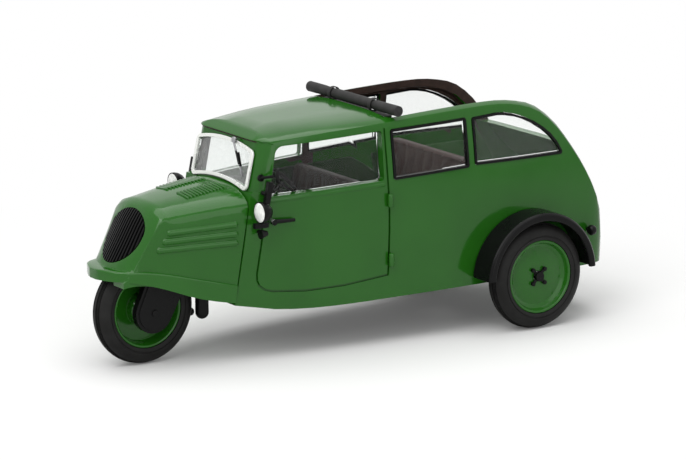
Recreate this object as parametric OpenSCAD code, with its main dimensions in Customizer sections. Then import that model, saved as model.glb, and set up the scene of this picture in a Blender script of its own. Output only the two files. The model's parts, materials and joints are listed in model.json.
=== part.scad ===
// Scale model of a three wheeled estate car with a roll-back roof.
// One front wheel steers and drives on the full-size car, two wheels carry the rear.
// Frame: X forward, Y to the left, Z up, origin under the middle of the model on the ground.

/* [Body] */
// Length from the tip of the nose lip to the tail
body_length = 79.6; // [76:0.2:86]
// Width of the cabin at its waist
body_width = 26.2; // [24:0.2:29]
// Height of the lower body edge above the ground
sill_height = 7.1; // [6.6:0.1:7.6]
// Height of the roof crown above the ground
roof_height = 33.2; // [31:0.2:36]
// Length from the tip of the nose lip back to the windscreen
bonnet_length = 20.6; // [18:0.2:24]
// Wall of the cast body
wall = 0.9; // [0.7:0.05:1.2]
// Inward lean of the cabin sides at the roof, over the rear axle
tumblehome = 2.3; // [1.6:0.1:2.8]
// Open joint between the bonnet and the cabin
seam_gap = 0.2; // [0.1:0.05:0.4]
// Gap under pieces that are set on the body or beside each other
seat_gap = 0.08; // [0.05:0.01:0.15]

/* [Windows] */
// Height of the roof edge band above the windows, up to the crown
roof_band = 2.4; // [2:0.1:3.2]
// Height of the door window opening
window_height = 7; // [6:0.1:7.6]
// Rise of the bonnet crown above the lower edge of the windows
cowl_rise = 0.8; // [0.4:0.1:1.2]
// Length of the door window along its lower edge
door_window_length = 17.5; // [15:0.1:18]
// Length of the middle window
mid_window_length = 12.6; // [11:0.1:13.4]
// Length of the rear quarter window along its lower edge
rear_window_length = 15.5; // [13:0.1:16]
// Width of the post behind the door window
post_width = 1.4; // [1.2:0.1:2]
// Width of the post ahead of the rear quarter window
rear_post_width = 0.9; // [0.8:0.1:1.6]
// Depth from the cabin side to the inner face of the door window's frame
door_frame_depth = 1.55; // [1.3:0.05:1.6]
// Thickness of the clear panes
glass_thickness = 0.35; // [0.25:0.05:0.5]
// Rake of the windscreen from the vertical in degrees
windscreen_rake = 13; // [9:0.5:17]
// Half width of the windscreen frame
windscreen_half_width = 7.4; // [6.8:0.1:7.8]

/* [Roof opening] */
// Distance from the windscreen back to the front edge of the roof opening
roof_panel_length = 21.4; // [19:0.2:23]
// Width of the side rails that stay beside the opening
rail_width = 1; // [0.8:0.1:1.4]
// Rise of the rear wall above the lower edge of the windows
rear_wall_rise = 1.4; // [0:0.1:2.2]
// Radius of the rolled roof cover
roll_radius = 0.8; // [0.6:0.05:1]

/* [Wheels] */
// Rear axle to the tail
rear_overhang = 15.65; // [14:0.05:18]
// Front axle to the tip of the nose lip
front_overhang = 7.75; // [7.7:0.05:8.2]
// Radius of all tyres
tyre_radius = 7.7; // [7.4:0.05:7.9]
// Width of all tyres
tyre_width = 3.3; // [3:0.1:3.6]
// Radius of the rim under the tyre
rim_radius = 5.35; // [5:0.05:5.6]
// Gap between the cabin's waist and a rear tyre
wheel_gap = 0.2; // [0.15:0.05:0.8]
// Radius of both axles
axle_radius = 0.7; // [0.5:0.05:0.9]
// Radial play of a wheel on its axle
axle_play = 0.06; // [0.03:0.01:0.09]
// Gap between the tyre tread and the inside of the mudguard
mudguard_gap = 0.5; // [0.4:0.05:0.9]
// Depth of the mudguard's rounded edge
mudguard_edge = 1.2; // [1:0.05:1.6]

/* [Base plate] */
// Thickness of the base plate
plate_thickness = 0.8; // [0.6:0.05:1]
// Radius of the two screw holes for a display plinth
screw_hole_radius = 1; // [0.7:0.05:1.2]
// Distance between the two screw holes
screw_spacing = 31; // [29:0.5:32]

/* [Hidden] */
$fn = 48;

// Paints
PAINT_GREEN = [0.16, 0.36, 0.14];
SATIN_BLACK = [0.09, 0.09, 0.1];
TYRE_BLACK = [0.14, 0.13, 0.13];
SEAT_BROWN = [0.24, 0.16, 0.14];
SCREEN_SILVER = [0.87, 0.89, 0.85];
CLEAR = [0.9, 0.95, 0.95, 0.4];

// Main stations along the model
nose_tip = body_length / 2;
tail_x = -body_length / 2;
front_axle_x = nose_tip - front_overhang;
rear_axle_x = tail_x + rear_overhang;
track = body_width + 2 * wheel_gap + tyre_width;
head_height = roof_height - roof_band;
belt_height = head_height - window_height;
cowl_height = belt_height + cowl_rise;
screen_x = nose_tip - bonnet_length;
body_half = body_width / 2;
cabin_height = roof_height - sill_height;
bonnet_height = cowl_height - sill_height;

// Joint between bonnet and cabin: it leans forward towards the sill
seam_lean = 0.16;
seam_top = cowl_height;
function seam_x(z) = screen_x + seam_gap + (seam_top - z) * seam_lean;

// Cabin sections. Columns: share of the way from the cowl to the tail, half width as a share of
// the waist, lean of the side as a share of the tumblehome, lower edge above the sill in mm, roof
// edge and roof crown as shares of the cabin height, and the power of the rounded roof corner.
CABIN = [
    [0.000, 0.637, 0.39, 1.30, 0.885, 0.954, 2.4],
    [0.048, 0.687, 0.39, 0.75, 0.893, 0.962, 2.4],
    [0.104, 0.737, 0.40, 0.10, 0.901, 0.970, 2.4],
    [0.184, 0.809, 0.42, -0.25, 0.914, 0.975, 2.4],
    [0.280, 0.863, 0.46, -0.35, 0.924, 0.979, 2.4],
    [0.392, 0.912, 0.55, -0.25, 0.939, 0.984, 2.4],
    [0.536, 0.973, 0.78, -0.10, 0.956, 0.992, 2.5],
    [0.680, 1.000, 0.96, 0.00, 0.958, 1.000, 2.6],
    [0.744, 1.000, 1.00, 0.00, 0.935, 0.985, 2.8],
    [0.800, 0.992, 1.00, 0.00, 0.878, 0.950, 3.0],
    [0.848, 0.981, 1.00, 0.00, 0.774, 0.865, 3.2],
    [0.888, 0.962, 1.00, 0.00, 0.644, 0.747, 3.4],
    [0.920, 0.949, 1.00, 0.00, 0.529, 0.636, 3.4],
    [0.952, 0.930, 1.00, 0.00, 0.379, 0.509, 3.4],
    [0.975, 0.890, 1.00, 0.00, 0.226, 0.403, 3.4],
    [0.989, 0.810, 1.00, 0.00, 0.090, 0.310, 3.4],
    [1.000, 0.660, 1.00, 0.00, 0.012, 0.171, 3.4]
];
cowl_x = screen_x + 3.1;
waist_height = sill_height + 8.2;
lean_height = roof_height - waist_height;
sill_tuck = 0.35;

// Bonnet sections. Columns: share of the way from the seam to the nose, half width as a share of
// the cowl, lower edge, shoulder and crown as shares of the bonnet height, power of the crown's
// curve, and power of the shoulder, where 1 is a crease.
BONNET = [
    [0.000, 1.000, 0.068, 0.817, 1.000, 2.4, 2.40],
    [0.263, 0.894, 0.114, 0.806, 0.972, 2.4, 2.40],
    [0.474, 0.800, 0.171, 0.783, 0.943, 2.5, 2.40],
    [0.630, 0.722, 0.240, 0.771, 0.921, 2.6, 2.20],
    [0.710, 0.687, 0.274, 0.802, 0.903, 2.3, 1.70],
    [0.790, 0.637, 0.291, 0.666, 0.806, 2.0, 1.25],
    [0.870, 0.598, 0.303, 0.517, 0.662, 2.0, 1.20],
    [0.940, 0.570, 0.303, 0.390, 0.535, 2.0, 1.20],
    [1.000, 0.547, 0.293, 0.329, 0.426, 2.0, 1.20]
];
bonnet_start = screen_x - 0.4;
nose_x = nose_tip - 2;
cowl_half = body_half * 0.683;

// Ledge round the nose. Columns: share of the way from the seam to the tip, half width as a share
// of the cowl, lower edge and upper edge as shares of the bonnet height.
LEDGE = [
    [0.000, 1.012, 0.068, 0.206],
    [0.238, 0.925, 0.114, 0.280],
    [0.429, 0.829, 0.171, 0.337],
    [0.619, 0.729, 0.257, 0.394],
    [0.762, 0.652, 0.311, 0.423],
    [0.867, 0.564, 0.338, 0.428],
    [0.914, 0.503, 0.345, 0.428],
    [0.950, 0.402, 0.344, 0.427],
    [0.976, 0.257, 0.342, 0.425],
    [1.000, 0.090, 0.342, 0.420]
];
ledge_power = 5;
ledge_round = 0.5;

// Smooth curve through one column of a table
function gap_index(t, s, i = 0) = i >= len(t) - 2 || s <= t[i + 1][0] ? i : gap_index(t, s, i + 1);
function rise(t, k, i) =
    let (a = max(i - 1, 0), b = min(i + 1, len(t) - 1))
    (t[b][k] - t[a][k]) / (t[b][0] - t[a][0]);
function curve(t, k, s) =
    let (i = gap_index(t, s), h = t[i + 1][0] - t[i][0], u = (s - t[i][0]) / h)
    t[i][k] * (2 * pow(u, 3) - 3 * pow(u, 2) + 1)
    + rise(t, k, i) * h * (pow(u, 3) - 2 * pow(u, 2) + u)
    + t[i + 1][k] * (3 * pow(u, 2) - 2 * pow(u, 3))
    + rise(t, k, i + 1) * h * (pow(u, 3) - pow(u, 2));

// Half width of the cabin side at a height, from its half width at the waist and its lean
function side_y(w, lean, z) =
    w - lean * tumblehome * pow(max(0, (z - waist_height) / lean_height), 1.5)
      - sill_tuck * pow(max(0, (waist_height - z) / (waist_height - sill_height)), 2);

// Ring of points round one section: up the left side, over the crown and down the right side
SIDE_STEPS = 5;
CROWN_STEPS = 8;
function corner(y, e, c, n, m) = [
    for (j = [1 : CROWN_STEPS])
        let (a = 90 * j / CROWN_STEPS)
        [j == CROWN_STEPS ? 0 : y * pow(cos(a), 2 / n), e + (c - e) * pow(sin(a), 2 / m)]
];
function ring(x, half) = concat(
    [for (p = half) [x, p[0], p[1]]],
    [for (i = [len(half) - 2 : -1 : 0]) [x, -half[i][0], half[i][1]]]
);

// Closed skin through rings of equal length
module skin(rings) {
    n = len(rings[0]);
    m = len(rings);
    sides = [
        for (i = [0 : m - 2], j = [0 : n - 1])
            let (a = i * n + j, b = i * n + (j + 1) % n)
            each [[a, b, b + n], [a, b + n, a + n]]
    ];
    front = [for (j = [n - 1 : -1 : 0]) j];
    back = [for (j = [0 : n - 1]) (m - 1) * n + j];
    polyhedron([for (r = rings) each r], concat([front, back], sides));
}

// Tapered round rod between two points
module rod(a, b, ra, rb) {
    d = b - a;
    translate(a)
        rotate([0, acos(d[2] / norm(d)), atan2(d[1], d[0])])
            cylinder(r1 = ra, r2 = rb, h = norm(d));
}

// Share along the cabin of a station, and the cabin's half width there
function cabin_share(x) = (cowl_x - x) / (cowl_x - tail_x);
function cabin_x(s) = cowl_x + s * (tail_x - cowl_x);
function cabin_half(x) = body_half * curve(CABIN, 1, cabin_share(x));
function cabin_side(x, z) = side_y(cabin_half(x), curve(CABIN, 2, cabin_share(x)), z);
function cabin_ring(s, inset, drop) =
    let (
        w = body_half * curve(CABIN, 1, s) - inset,
        lean = curve(CABIN, 2, s),
        b = sill_height + curve(CABIN, 3, s) - drop,
        e = sill_height + cabin_height * curve(CABIN, 4, s) - inset,
        c = sill_height + cabin_height * curve(CABIN, 5, s) - inset,
        n = curve(CABIN, 6, s),
        side = [for (i = [0 : SIDE_STEPS]) let (z = b + (e - b) * i / SIDE_STEPS) [side_y(w, lean, z), z]]
    )
    concat(side, corner(side_y(w, lean, e), e, c, n, n));

// Stations crowd together towards the tail, where the section changes fastest
CABIN_STEPS = 34;
function tail_ease(u) = 1 - pow(1 - u, 1.7);
module cabin_outside() {
    skin([
        for (i = [0 : CABIN_STEPS])
            let (s = tail_ease(i / CABIN_STEPS))
            ring(cabin_x(s), cabin_ring(s, 0, 0))
    ]);
}
inner_front_x = screen_x - 1;
inner_steps = 20;
module cabin_inside() {
    first = cabin_share(inner_front_x);
    last = 1 - 2.2 * wall / (cowl_x - tail_x);
    skin([
        for (i = [0 : inner_steps])
            let (s = first + (last - first) * tail_ease(i / inner_steps))
            ring(cabin_x(s) + wall * s, cabin_ring(s, wall, 3))
    ]);
}

// Everything ahead of the windscreen and above the cowl, with a brow on top. Columns of the brow:
// forward of the screen's head, above the screen's head. Columns of the post: share of the way out
// from the flat of the screen to the side, share of the post's sweep.
screen_foot = cowl_height - 0.6;
screen_head = head_height - 0.4;
screen_rise = screen_head - screen_foot;
function screen_at(z) = screen_x - (z - screen_foot) * tan(windscreen_rake);
brow = 0.25;
BROW = [[brow, 0.3], [brow - 0.2, 1.1], [brow - 1.25, 1.75], [brow - 3.15, 2.3], [brow - 4.5, 12]];
POST = [[0, 0], [0.45, 0.2], [0.8, 0.6], [1.05, 1.1], [2, 4]];
post_sweep = 1;
sweep_start = windscreen_half_width - 1;
sweep_end = cabin_side(screen_x, screen_head);
function post_edge(i, side) =
    [post_sweep * POST[i][1], side * (sweep_start + (sweep_end - sweep_start) * POST[i][0])];
module ahead_of_screen(back) {
    far = nose_tip + 10;
    last = len(POST) - 1;
    edge = concat([for (i = [last : -1 : 0]) post_edge(i, -1)], [for (i = [0 : last]) post_edge(i, 1)]);
    profile = concat(
        [[screen_at(screen_foot), screen_foot], [screen_at(screen_head), screen_head]],
        [for (b = BROW) [screen_at(screen_head) + b[0], screen_head + b[1]]]
    );
    skin([
        for (p = profile)
            concat(
                [for (e = edge) [p[0] - back - e[0], e[1], p[1] - back]],
                [[far, body_width, p[1] - back], [far, -body_width, p[1] - back]]
            )
    ]);
}

// Everything on the bonnet's side of the seam
module ahead_of_seam(offset_x) {
    low = -5;
    rotate([90, 0, 0])
        linear_extrude(3 * body_width, center = true)
            polygon([
                [seam_x(low) + offset_x, low], [seam_x(screen_foot) + offset_x, screen_foot],
                [screen_x + offset_x, screen_foot], [screen_x + offset_x, cowl_height + 2],
                [nose_tip + 20, cowl_height + 2], [nose_tip + 20, low]
            ]);
}

// Window outlines in side view. Columns: x, z, radius of the corner.
tight_corner = 0.4;
post_corner = 1.3;
quarter_power = 1.65;
QUARTER_STEPS = 9;
door_front_x = screen_x - 2.4;
door_rear_x = door_front_x - door_window_length;
mid_front_x = door_rear_x - post_width;
mid_rear_x = mid_front_x - mid_window_length;
quarter_front_x = mid_rear_x - rear_post_width;
quarter_rear_x = quarter_front_x - rear_window_length;
quarter_bend_x = quarter_front_x - 4.4;
quarter_foot_z = belt_height + 0.3;
quarter_head_z = head_height + 0.5;
DOOR_WINDOW = [
    [door_front_x, belt_height - 0.5, tight_corner], [door_front_x - 1, head_height - 0.6, post_corner],
    [door_rear_x, head_height, tight_corner], [door_rear_x, belt_height, tight_corner]
];
MID_WINDOW = [
    [mid_front_x - 0.1, belt_height - 0.1, tight_corner],
    [mid_front_x + 0.1, head_height + 0.1, tight_corner],
    [mid_rear_x, head_height + 0.4, tight_corner],
    [mid_rear_x, belt_height + 0.3, tight_corner]
];
// The quarter window ends in a quarter of a superellipse
QUARTER_WINDOW = concat(
    [
        [quarter_front_x, belt_height + 0.5, tight_corner],
        [quarter_front_x, head_height + 0.3, tight_corner]
    ],
    [
        for (i = [0 : QUARTER_STEPS])
            let (a = 90 * i / QUARTER_STEPS)
            [
                quarter_bend_x + (quarter_rear_x - quarter_bend_x) * pow(sin(a), 2 / quarter_power),
                quarter_foot_z + (quarter_head_z - quarter_foot_z) * pow(cos(a), 2 / quarter_power),
                i < QUARTER_STEPS ? 0 : tight_corner
            ]
    ]
);
WINDOWS = [DOOR_WINDOW, MID_WINDOW, QUARTER_WINDOW];
TRIMMED = [MID_WINDOW, QUARTER_WINDOW];

// Prism across the car over a window outline, grown by a margin, between two Y planes
module window_prism(outline, grow, y0, y1) {
    mx = [for (p = outline) p[0]];
    mz = [for (p = outline) p[1]];
    cx = (max(mx) + min(mx)) / 2;
    cz = (max(mz) + min(mz)) / 2;
    bend = [for (p = outline) if (p[2] == 0) [p[0], p[1]]];
    translate([0, y1, 0])
        rotate([90, 0, 0])
            linear_extrude(y1 - y0)
                offset(delta = grow)
                    hull() {
                        for (p = outline)
                            if (p[2] > 0)
                                translate([
                                    p[0] - sign(p[0] - cx) * p[2],
                                    p[1] - sign(p[1] - cz) * p[2]
                                ])
                                    circle(r = p[2], $fn = 20);
                        if (len(bend) > 2)
                            polygon(bend);
                    }
}

// Door outline, engraved on both sides
door_groove = 0.3;
door_depth = 0.35;
DOOR_LINE = [
    [door_front_x + 1.2, belt_height - 1.2], [door_front_x + 1.3, sill_height + 10.5],
    [door_front_x + 2.1, sill_height + 5.6], [door_front_x + 2.1, sill_height + 4.6],
    [door_front_x + 1.7, sill_height + 3.7], [door_front_x + 0.9, sill_height + 3.1],
    [door_front_x - 0.2, sill_height + 2.8], [door_front_x - 5, sill_height + 2.4],
    [door_front_x - 11, sill_height + 2.5], [door_rear_x - 0.4, sill_height + 3.2],
    [door_rear_x - 0.7, belt_height - 3.4], [door_rear_x - 0.6, belt_height],
    [door_rear_x - 0.4, head_height + 0.2]
];
// Soft bead along the door under its window. Columns: share of the way back, below the window's foot.
bead_radius = 0.34;
bead_sink = 0.22;
BEAD = [[-0.04, 0.6], [0.25, 0.6], [0.55, 0.6], [1, 0.6]];
function bead_point(b, side) =
    let (
        x = door_front_x - b[0] * door_window_length,
        z = belt_height - 0.5 * (1 - b[0]) - b[1]
    )
    [x, side * (cabin_side(x, z) - bead_sink), z];
module door_beads() {
    for (side = [-1, 1], i = [0 : len(BEAD) - 2])
        hull()
            for (b = [BEAD[i], BEAD[i + 1]])
                translate(bead_point(b, side)) sphere(r = bead_radius, $fn = 12);
}
// Deep frames round the door windows, left standing inside the cabin wall
frame_margin = 0.7;
module door_frames() {
    for (side = [0, 1])
        mirror([0, side, 0])
            intersection() {
                window_prism(DOOR_WINDOW, frame_margin, 0, body_width);
                cabin_sheet(door_frame_depth, -wall);
            }
}
module door_lines() {
    for (side = [-1, 1], i = [0 : len(DOOR_LINE) - 2])
        hull()
            for (p = [DOOR_LINE[i], DOOR_LINE[i + 1]])
                translate([p[0], side * cabin_side(p[0], p[1]), p[1]])
                    rotate([90, 0, 0])
                        cylinder(d = door_groove, h = 2 * door_depth, center = true, $fn = 8);
}

// Roof opening behind the roof panel, down to the rear wall
opening_front_x = screen_x - roof_panel_length;
rear_wall_height = belt_height + rear_wall_rise;
roof_half = body_half - tumblehome;
opening_half = roof_half - rail_width;
opening_round = 1.4;
module roof_opening() {
    length = opening_front_x - tail_x + 5;
    hull()
        for (side = [-1, 1], x = [opening_front_x - opening_round, opening_front_x - length])
            translate([x, side * (opening_half - opening_round), rear_wall_height])
                cylinder(r = opening_round, h = roof_height, $fn = 24);
}

module cabin_shell() {
    color(PAINT_GREEN)
        difference() {
            union() {
                cabin_outside();
                door_beads();
            }
            difference() {
                cabin_inside();
                ahead_of_screen(wall);
                door_frames();
            }
            ahead_of_screen(0);
            ahead_of_seam(0);
            for (outline = WINDOWS)
                window_prism(outline, 0, -body_width, body_width);
            windscreen_hole();
            roof_opening();
            door_lines();
            axle_tunnel();
        }
}

// Room for the rear axle through the body and its linings
module axle_tunnel() {
    translate([rear_axle_x, 0, tyre_radius])
        rotate([90, 0, 0])
            cylinder(r = axle_radius + 2 * seat_gap, h = 2 * body_width, center = true, $fn = 24);
}

// Bonnet and nose
function bonnet_x(t) = bonnet_start + t * (nose_x - bonnet_start);
function bonnet_share(x) = (x - bonnet_start) / (nose_x - bonnet_start);
function bonnet_half(x) = cowl_half * curve(BONNET, 1, bonnet_share(x));
function bonnet_crown(x) = sill_height + bonnet_height * curve(BONNET, 4, bonnet_share(x));
function bonnet_shoulder(x) = sill_height + bonnet_height * curve(BONNET, 3, bonnet_share(x));
// Height of the bonnet's top at a distance from the middle
function bonnet_top(x, y) =
    let (
        t = bonnet_share(x), e = bonnet_shoulder(x), c = bonnet_crown(x),
        n = curve(BONNET, 5, t), m = curve(BONNET, 6, t)
    )
    e + (c - e) * pow(1 - pow(abs(y) / bonnet_half(x), n), 1 / m);
function bonnet_ring(t, inset, drop) =
    let (
        w = cowl_half * curve(BONNET, 1, t) - inset,
        b = sill_height + bonnet_height * curve(BONNET, 2, t) - drop,
        e = sill_height + bonnet_height * curve(BONNET, 3, t) - inset,
        c = sill_height + bonnet_height * curve(BONNET, 4, t) - inset,
        side = [for (i = [0 : 3]) [w, b + (e - b) * i / 3]]
    )
    concat(side, corner(w, e, c, curve(BONNET, 5, t), curve(BONNET, 6, t)));
function ledge_x(t) = bonnet_start + t * (nose_tip - bonnet_start);
function ledge_ring(t) =
    let (
        w = cowl_half * curve(LEDGE, 1, t),
        b = sill_height + bonnet_height * curve(LEDGE, 2, t),
        c = sill_height + bonnet_height * curve(LEDGE, 3, t)
    )
    concat([[w, b], [w, c - ledge_round]], corner(w, c - ledge_round, c, ledge_power, ledge_power));

BONNET_STEPS = 26;
LEDGE_STEPS = 16;
module bonnet_skin() {
    skin([
        for (i = [BONNET_STEPS : -1 : 0])
            let (t = i / BONNET_STEPS)
            ring(bonnet_x(t), bonnet_ring(t, 0, 0))
    ]);
}
module bonnet_outside() {
    bonnet_skin();
    skin([
        for (i = [LEDGE_STEPS : -1 : 0])
            let (t = tail_ease(i / LEDGE_STEPS))
            ring(ledge_x(t), ledge_ring(t))
    ]);
}
module bonnet_inside() {
    skin([
        for (i = [inner_steps : -1 : 0])
            let (t = i / inner_steps)
            ring(bonnet_x(t) - 1.3 * wall * t, bonnet_ring(t, wall, 9))
    ]);
}

// Wheel arch in the underside of the ledge
wheel_room = 0.5;
module wheel_arch() {
    translate([front_axle_x, 0, tyre_radius])
        rotate([90, 0, 0])
            cylinder(r = tyre_radius + wheel_room, h = tyre_width + 2 * wheel_room, center = true);
}

// Raised flutes on the bonnet sides. Columns: front end behind the nose tip in mm, height at the
// front and at the back as shares of the bonnet height.
FLUTES = [[8.6, 0.709, 0.731], [7.9, 0.643, 0.654], [7.1, 0.577, 0.583]];
flute_radius = 0.5;
flute_sink = 0.16;
flute_back_x = screen_x + 2.7;
module flutes() {
    for (side = [-1, 1], f = FLUTES)
        hull()
            for (p = [[nose_tip - f[0], f[1]], [flute_back_x, f[2]]])
                translate([
                    p[0], side * (bonnet_half(p[0]) - flute_sink), sill_height + bonnet_height * p[1]
                ])
                    sphere(r = flute_radius, $fn = 12);
}

// Two banks of louvres on top of the bonnet
louvre_count = 12;
louvre_pitch = 0.54;
louvre_inner = 1.4;
louvre_outer = 4.2;
louvre_height = 0.22;
louvre_back_x = screen_x + 1.7;
module louvres() {
    for (side = [-1, 1], i = [0 : louvre_count - 1]) {
        x = louvre_back_x + i * louvre_pitch;
        hull()
            for (y = [louvre_inner, louvre_outer])
                translate([x, side * y, bonnet_top(x, y) - 0.2])
                    rotate([0, 20, 0])
                        cylinder(d1 = 0.5, d2 = 0.3, h = 0.2 + louvre_height, $fn = 8);
    }
}

module nose_shell() {
    color(PAINT_GREEN)
        difference() {
            union() {
                bonnet_outside();
                flutes();
                louvres();
            }
            bonnet_inside();
            wheel_arch();
            grille_pocket();
            difference() {
                translate([bonnet_start - 20, -body_width, -5])
                    cube([bonnet_length + 20, 2 * body_width, roof_height + 20]);
                ahead_of_seam(seam_gap);
            }
        }
}

// Grille: an egg of upright bars let into the sloping nose, whose curve it follows
grille_slope = 30.5;
grille_x = nose_tip - 4.9;
grille_z = bonnet_crown(grille_x);
egg_half = 4.3;
egg_top = 3.2;
egg_foot = 5;
EGG_STEPS = 48;
grille_bars = 15;
grille_depth = 0.45;
bar_proud = 0.1;
bar_height = 0.3;
bar_share = 0.5;
function egg_reach(a) = (cos(a) > 0 ? egg_top : egg_foot) * cos(a);
module egg(grow) {
    polygon([
        for (i = [0 : EGG_STEPS - 1])
            let (a = 360 * i / EGG_STEPS)
            [egg_reach(a) + grow * cos(a), (egg_half + grow) * sin(a)]
    ]);
}
// Places flat work on the nose, the drawing's X up the slope
module on_nose() {
    translate([grille_x, 0, grille_z])
        rotate([0, 90 - grille_slope, 0])
            mirror([1, 0, 0])
                children();
}
// The nose moved out along the grille's own direction
module nose_moved(d) {
    translate([d * cos(grille_slope), 0, d * sin(grille_slope)]) bonnet_skin();
}
prism_half = 3;
module grille_prism(grow) {
    on_nose()
        translate([0, 0, -prism_half]) linear_extrude(2 * prism_half) egg(grow);
}
module bars() {
    pitch = 2 * egg_half / grille_bars;
    on_nose()
        for (i = [0 : grille_bars - 1], y = -egg_half + (i + 0.5) * pitch)
            hull()
                for (x = [-2 * egg_foot, 2 * egg_foot])
                    translate([x, y, -prism_half])
                        cylinder(d = pitch * bar_share, h = 2 * prism_half, $fn = 6);
}
module grille_pocket() {
    difference() {
        grille_prism(seat_gap);
        nose_moved(-grille_depth - seat_gap);
    }
}
module grille() {
    color(SATIN_BLACK)
        intersection() {
            grille_prism(0);
            difference() {
                union() {
                    nose_moved(bar_proud - bar_height);
                    intersection() {
                        nose_moved(bar_proud);
                        bars();
                    }
                }
                nose_moved(-grille_depth);
            }
        }
}

// Windscreen: flat, with arched upper and lower edges
frame_width = 0.5;
frame_thickness = 0.35;
screen_arch = 0.75;
screen_round = 0.8;
module screen_outline(inset) {
    w = windscreen_half_width - screen_round;
    h = screen_rise / cos(windscreen_rake);
    offset(r = screen_round - inset, $fn = 32)
        polygon(concat(
            [for (i = [-4 : 4]) [w * i / 4, screen_round + screen_arch * (1 - pow(i / 4, 2))]],
            [for (i = [4 : -1 : -4]) [w * i / 4, h - screen_round - screen_arch * pow(i / 4, 2)]]
        ));
}
// Places flat work on the windscreen plane, the drawing's Y up the glass
module on_screen(ahead) {
    translate([screen_at(screen_foot), 0, screen_foot])
        rotate([0, -windscreen_rake, 0])
            translate([ahead, 0, 0])
                rotate([90, 0, 90])
                    children();
}
screen_rebate = frame_width * 0.7;
module windscreen_hole() {
    on_screen(-3)
        linear_extrude(6) screen_outline(screen_rebate);
}
frame_stand = seat_gap;
module windscreen_frame() {
    color(SCREEN_SILVER)
        on_screen(frame_stand)
            linear_extrude(frame_thickness)
                difference() {
                    screen_outline(0);
                    screen_outline(frame_width);
                }
}
module windscreen_glass() {
    color(CLEAR)
        on_screen(-glass_thickness)
            linear_extrude(glass_thickness)
                screen_outline(screen_rebate + seat_gap);
}
// Wiper hung from the head of the screen. Points on the glass: across, up.
wiper_pivot = [2.7, screen_rise / cos(windscreen_rake) - 0.1];
blade_top = [4.2, 0.76 * wiper_pivot[1]];
blade_tip = [6.2, 0.3 * wiper_pivot[1]];
wiper_lift = 0.25;
wiper_thickness = 0.2;
wiper_boss = 0.4;
wiper_width = 0.26;
blade_width = 0.22;
module flat_bar(a, b, width, thickness) {
    d = b - a;
    translate([a[0], a[1], 0])
        rotate([0, 0, atan2(d[1], d[0])])
            translate([0, -width / 2, 0]) cube([norm(d), width, thickness]);
}
module wiper() {
    color(SATIN_BLACK)
        on_screen(frame_stand + frame_thickness + seat_gap)
            union() {
                translate([wiper_pivot[0], wiper_pivot[1], 0])
                    cylinder(r = wiper_boss, h = wiper_lift + wiper_thickness);
                translate([0, 0, wiper_lift])
                    flat_bar(wiper_pivot, (blade_top + blade_tip) / 2, wiper_width, wiper_thickness);
                flat_bar(blade_top, blade_tip, blade_width, wiper_lift + 0.05);
            }
}

// Side panes and black trims, set into the window openings
pane_play = 0.06;
trim_width = 0.4;
trim_proud = 0.15;
trim_pane_depth = 0.2;
door_pane_depth = door_frame_depth - glass_thickness - seat_gap;
module side_pane(outline) {
    in_door = outline == DOOR_WINDOW;
    depth = in_door ? door_pane_depth : trim_pane_depth;
    intersection() {
        window_prism(outline, -pane_play - (in_door ? 0 : trim_width), 0, body_width);
        cabin_sheet(depth + glass_thickness, depth);
    }
}
// Thin sheet that follows the cabin side, between two depths
SHEET_STEPS = 14;
module cabin_sheet(deep, shallow) {
    x0 = door_front_x + 2;
    x1 = quarter_rear_x - 3;
    heights = [for (i = [0 : 4]) belt_height - 2 + (window_height + 4) * i / 4];
    skin([
        for (i = [0 : SHEET_STEPS])
            let (x = x0 + (x1 - x0) * i / SHEET_STEPS)
            concat(
                [for (z = heights) [x, cabin_side(x, z) - shallow, z]],
                [for (k = [4 : -1 : 0]) [x, cabin_side(x, heights[k]) - deep, heights[k]]]
            )
    ]);
}
module side_glass_left() {
    color(CLEAR) for (outline = WINDOWS) side_pane(outline);
}
module side_glass_right() {
    color(CLEAR) mirror([0, 1, 0]) for (outline = WINDOWS) side_pane(outline);
}
module window_trim() {
    for (outline = TRIMMED)
        intersection() {
            difference() {
                window_prism(outline, -pane_play, 0, body_width);
                window_prism(outline, -trim_width, -1, body_width + 1);
            }
            cabin_sheet(trim_pane_depth + glass_thickness, -trim_proud);
        }
}
module window_trim_left() {
    color(SATIN_BLACK) window_trim();
}
module window_trim_right() {
    color(SATIN_BLACK) mirror([0, 1, 0]) window_trim();
}

// Rolled roof cover across the rails, its straps and the flap that holds it
roll_x = opening_front_x - roll_radius - 0.15;
roll_half = roof_half + 0.6;
roll_z = roof_height + roll_radius * 0.22;
module roof_roll() {
    color(SATIN_BLACK)
        translate([roll_x, 0, roll_z])
            rotate([90, 0, 0])
                cylinder(r = roll_radius, h = 2 * roll_half, center = true);
}
strap_y = 5.2;
strap_width = 0.7;
strap_thickness = 0.15;
strap_play = 0.02;
strap_bore = roll_radius + strap_play;
module roll_straps() {
    color(SATIN_BLACK)
        for (y = [-strap_y, strap_y])
            translate([roll_x, y, roll_z])
                rotate([90, 0, 0])
                    difference() {
                        cylinder(r = strap_bore + strap_thickness, h = strap_width, center = true);
                        cylinder(r = strap_bore, h = 2 * strap_width, center = true);
                    }
}
flap_thickness = 0.3;
flap_length = 2 * roll_radius + 0.2;
module roof_flap() {
    color(SATIN_BLACK)
        translate([
            opening_front_x - flap_length - seat_gap, opening_round - opening_half,
            roll_z - roll_radius - strap_thickness - 2 * seat_gap - flap_thickness
        ])
            cube([flap_length, 2 * (opening_half - opening_round), flap_thickness]);
}

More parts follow.
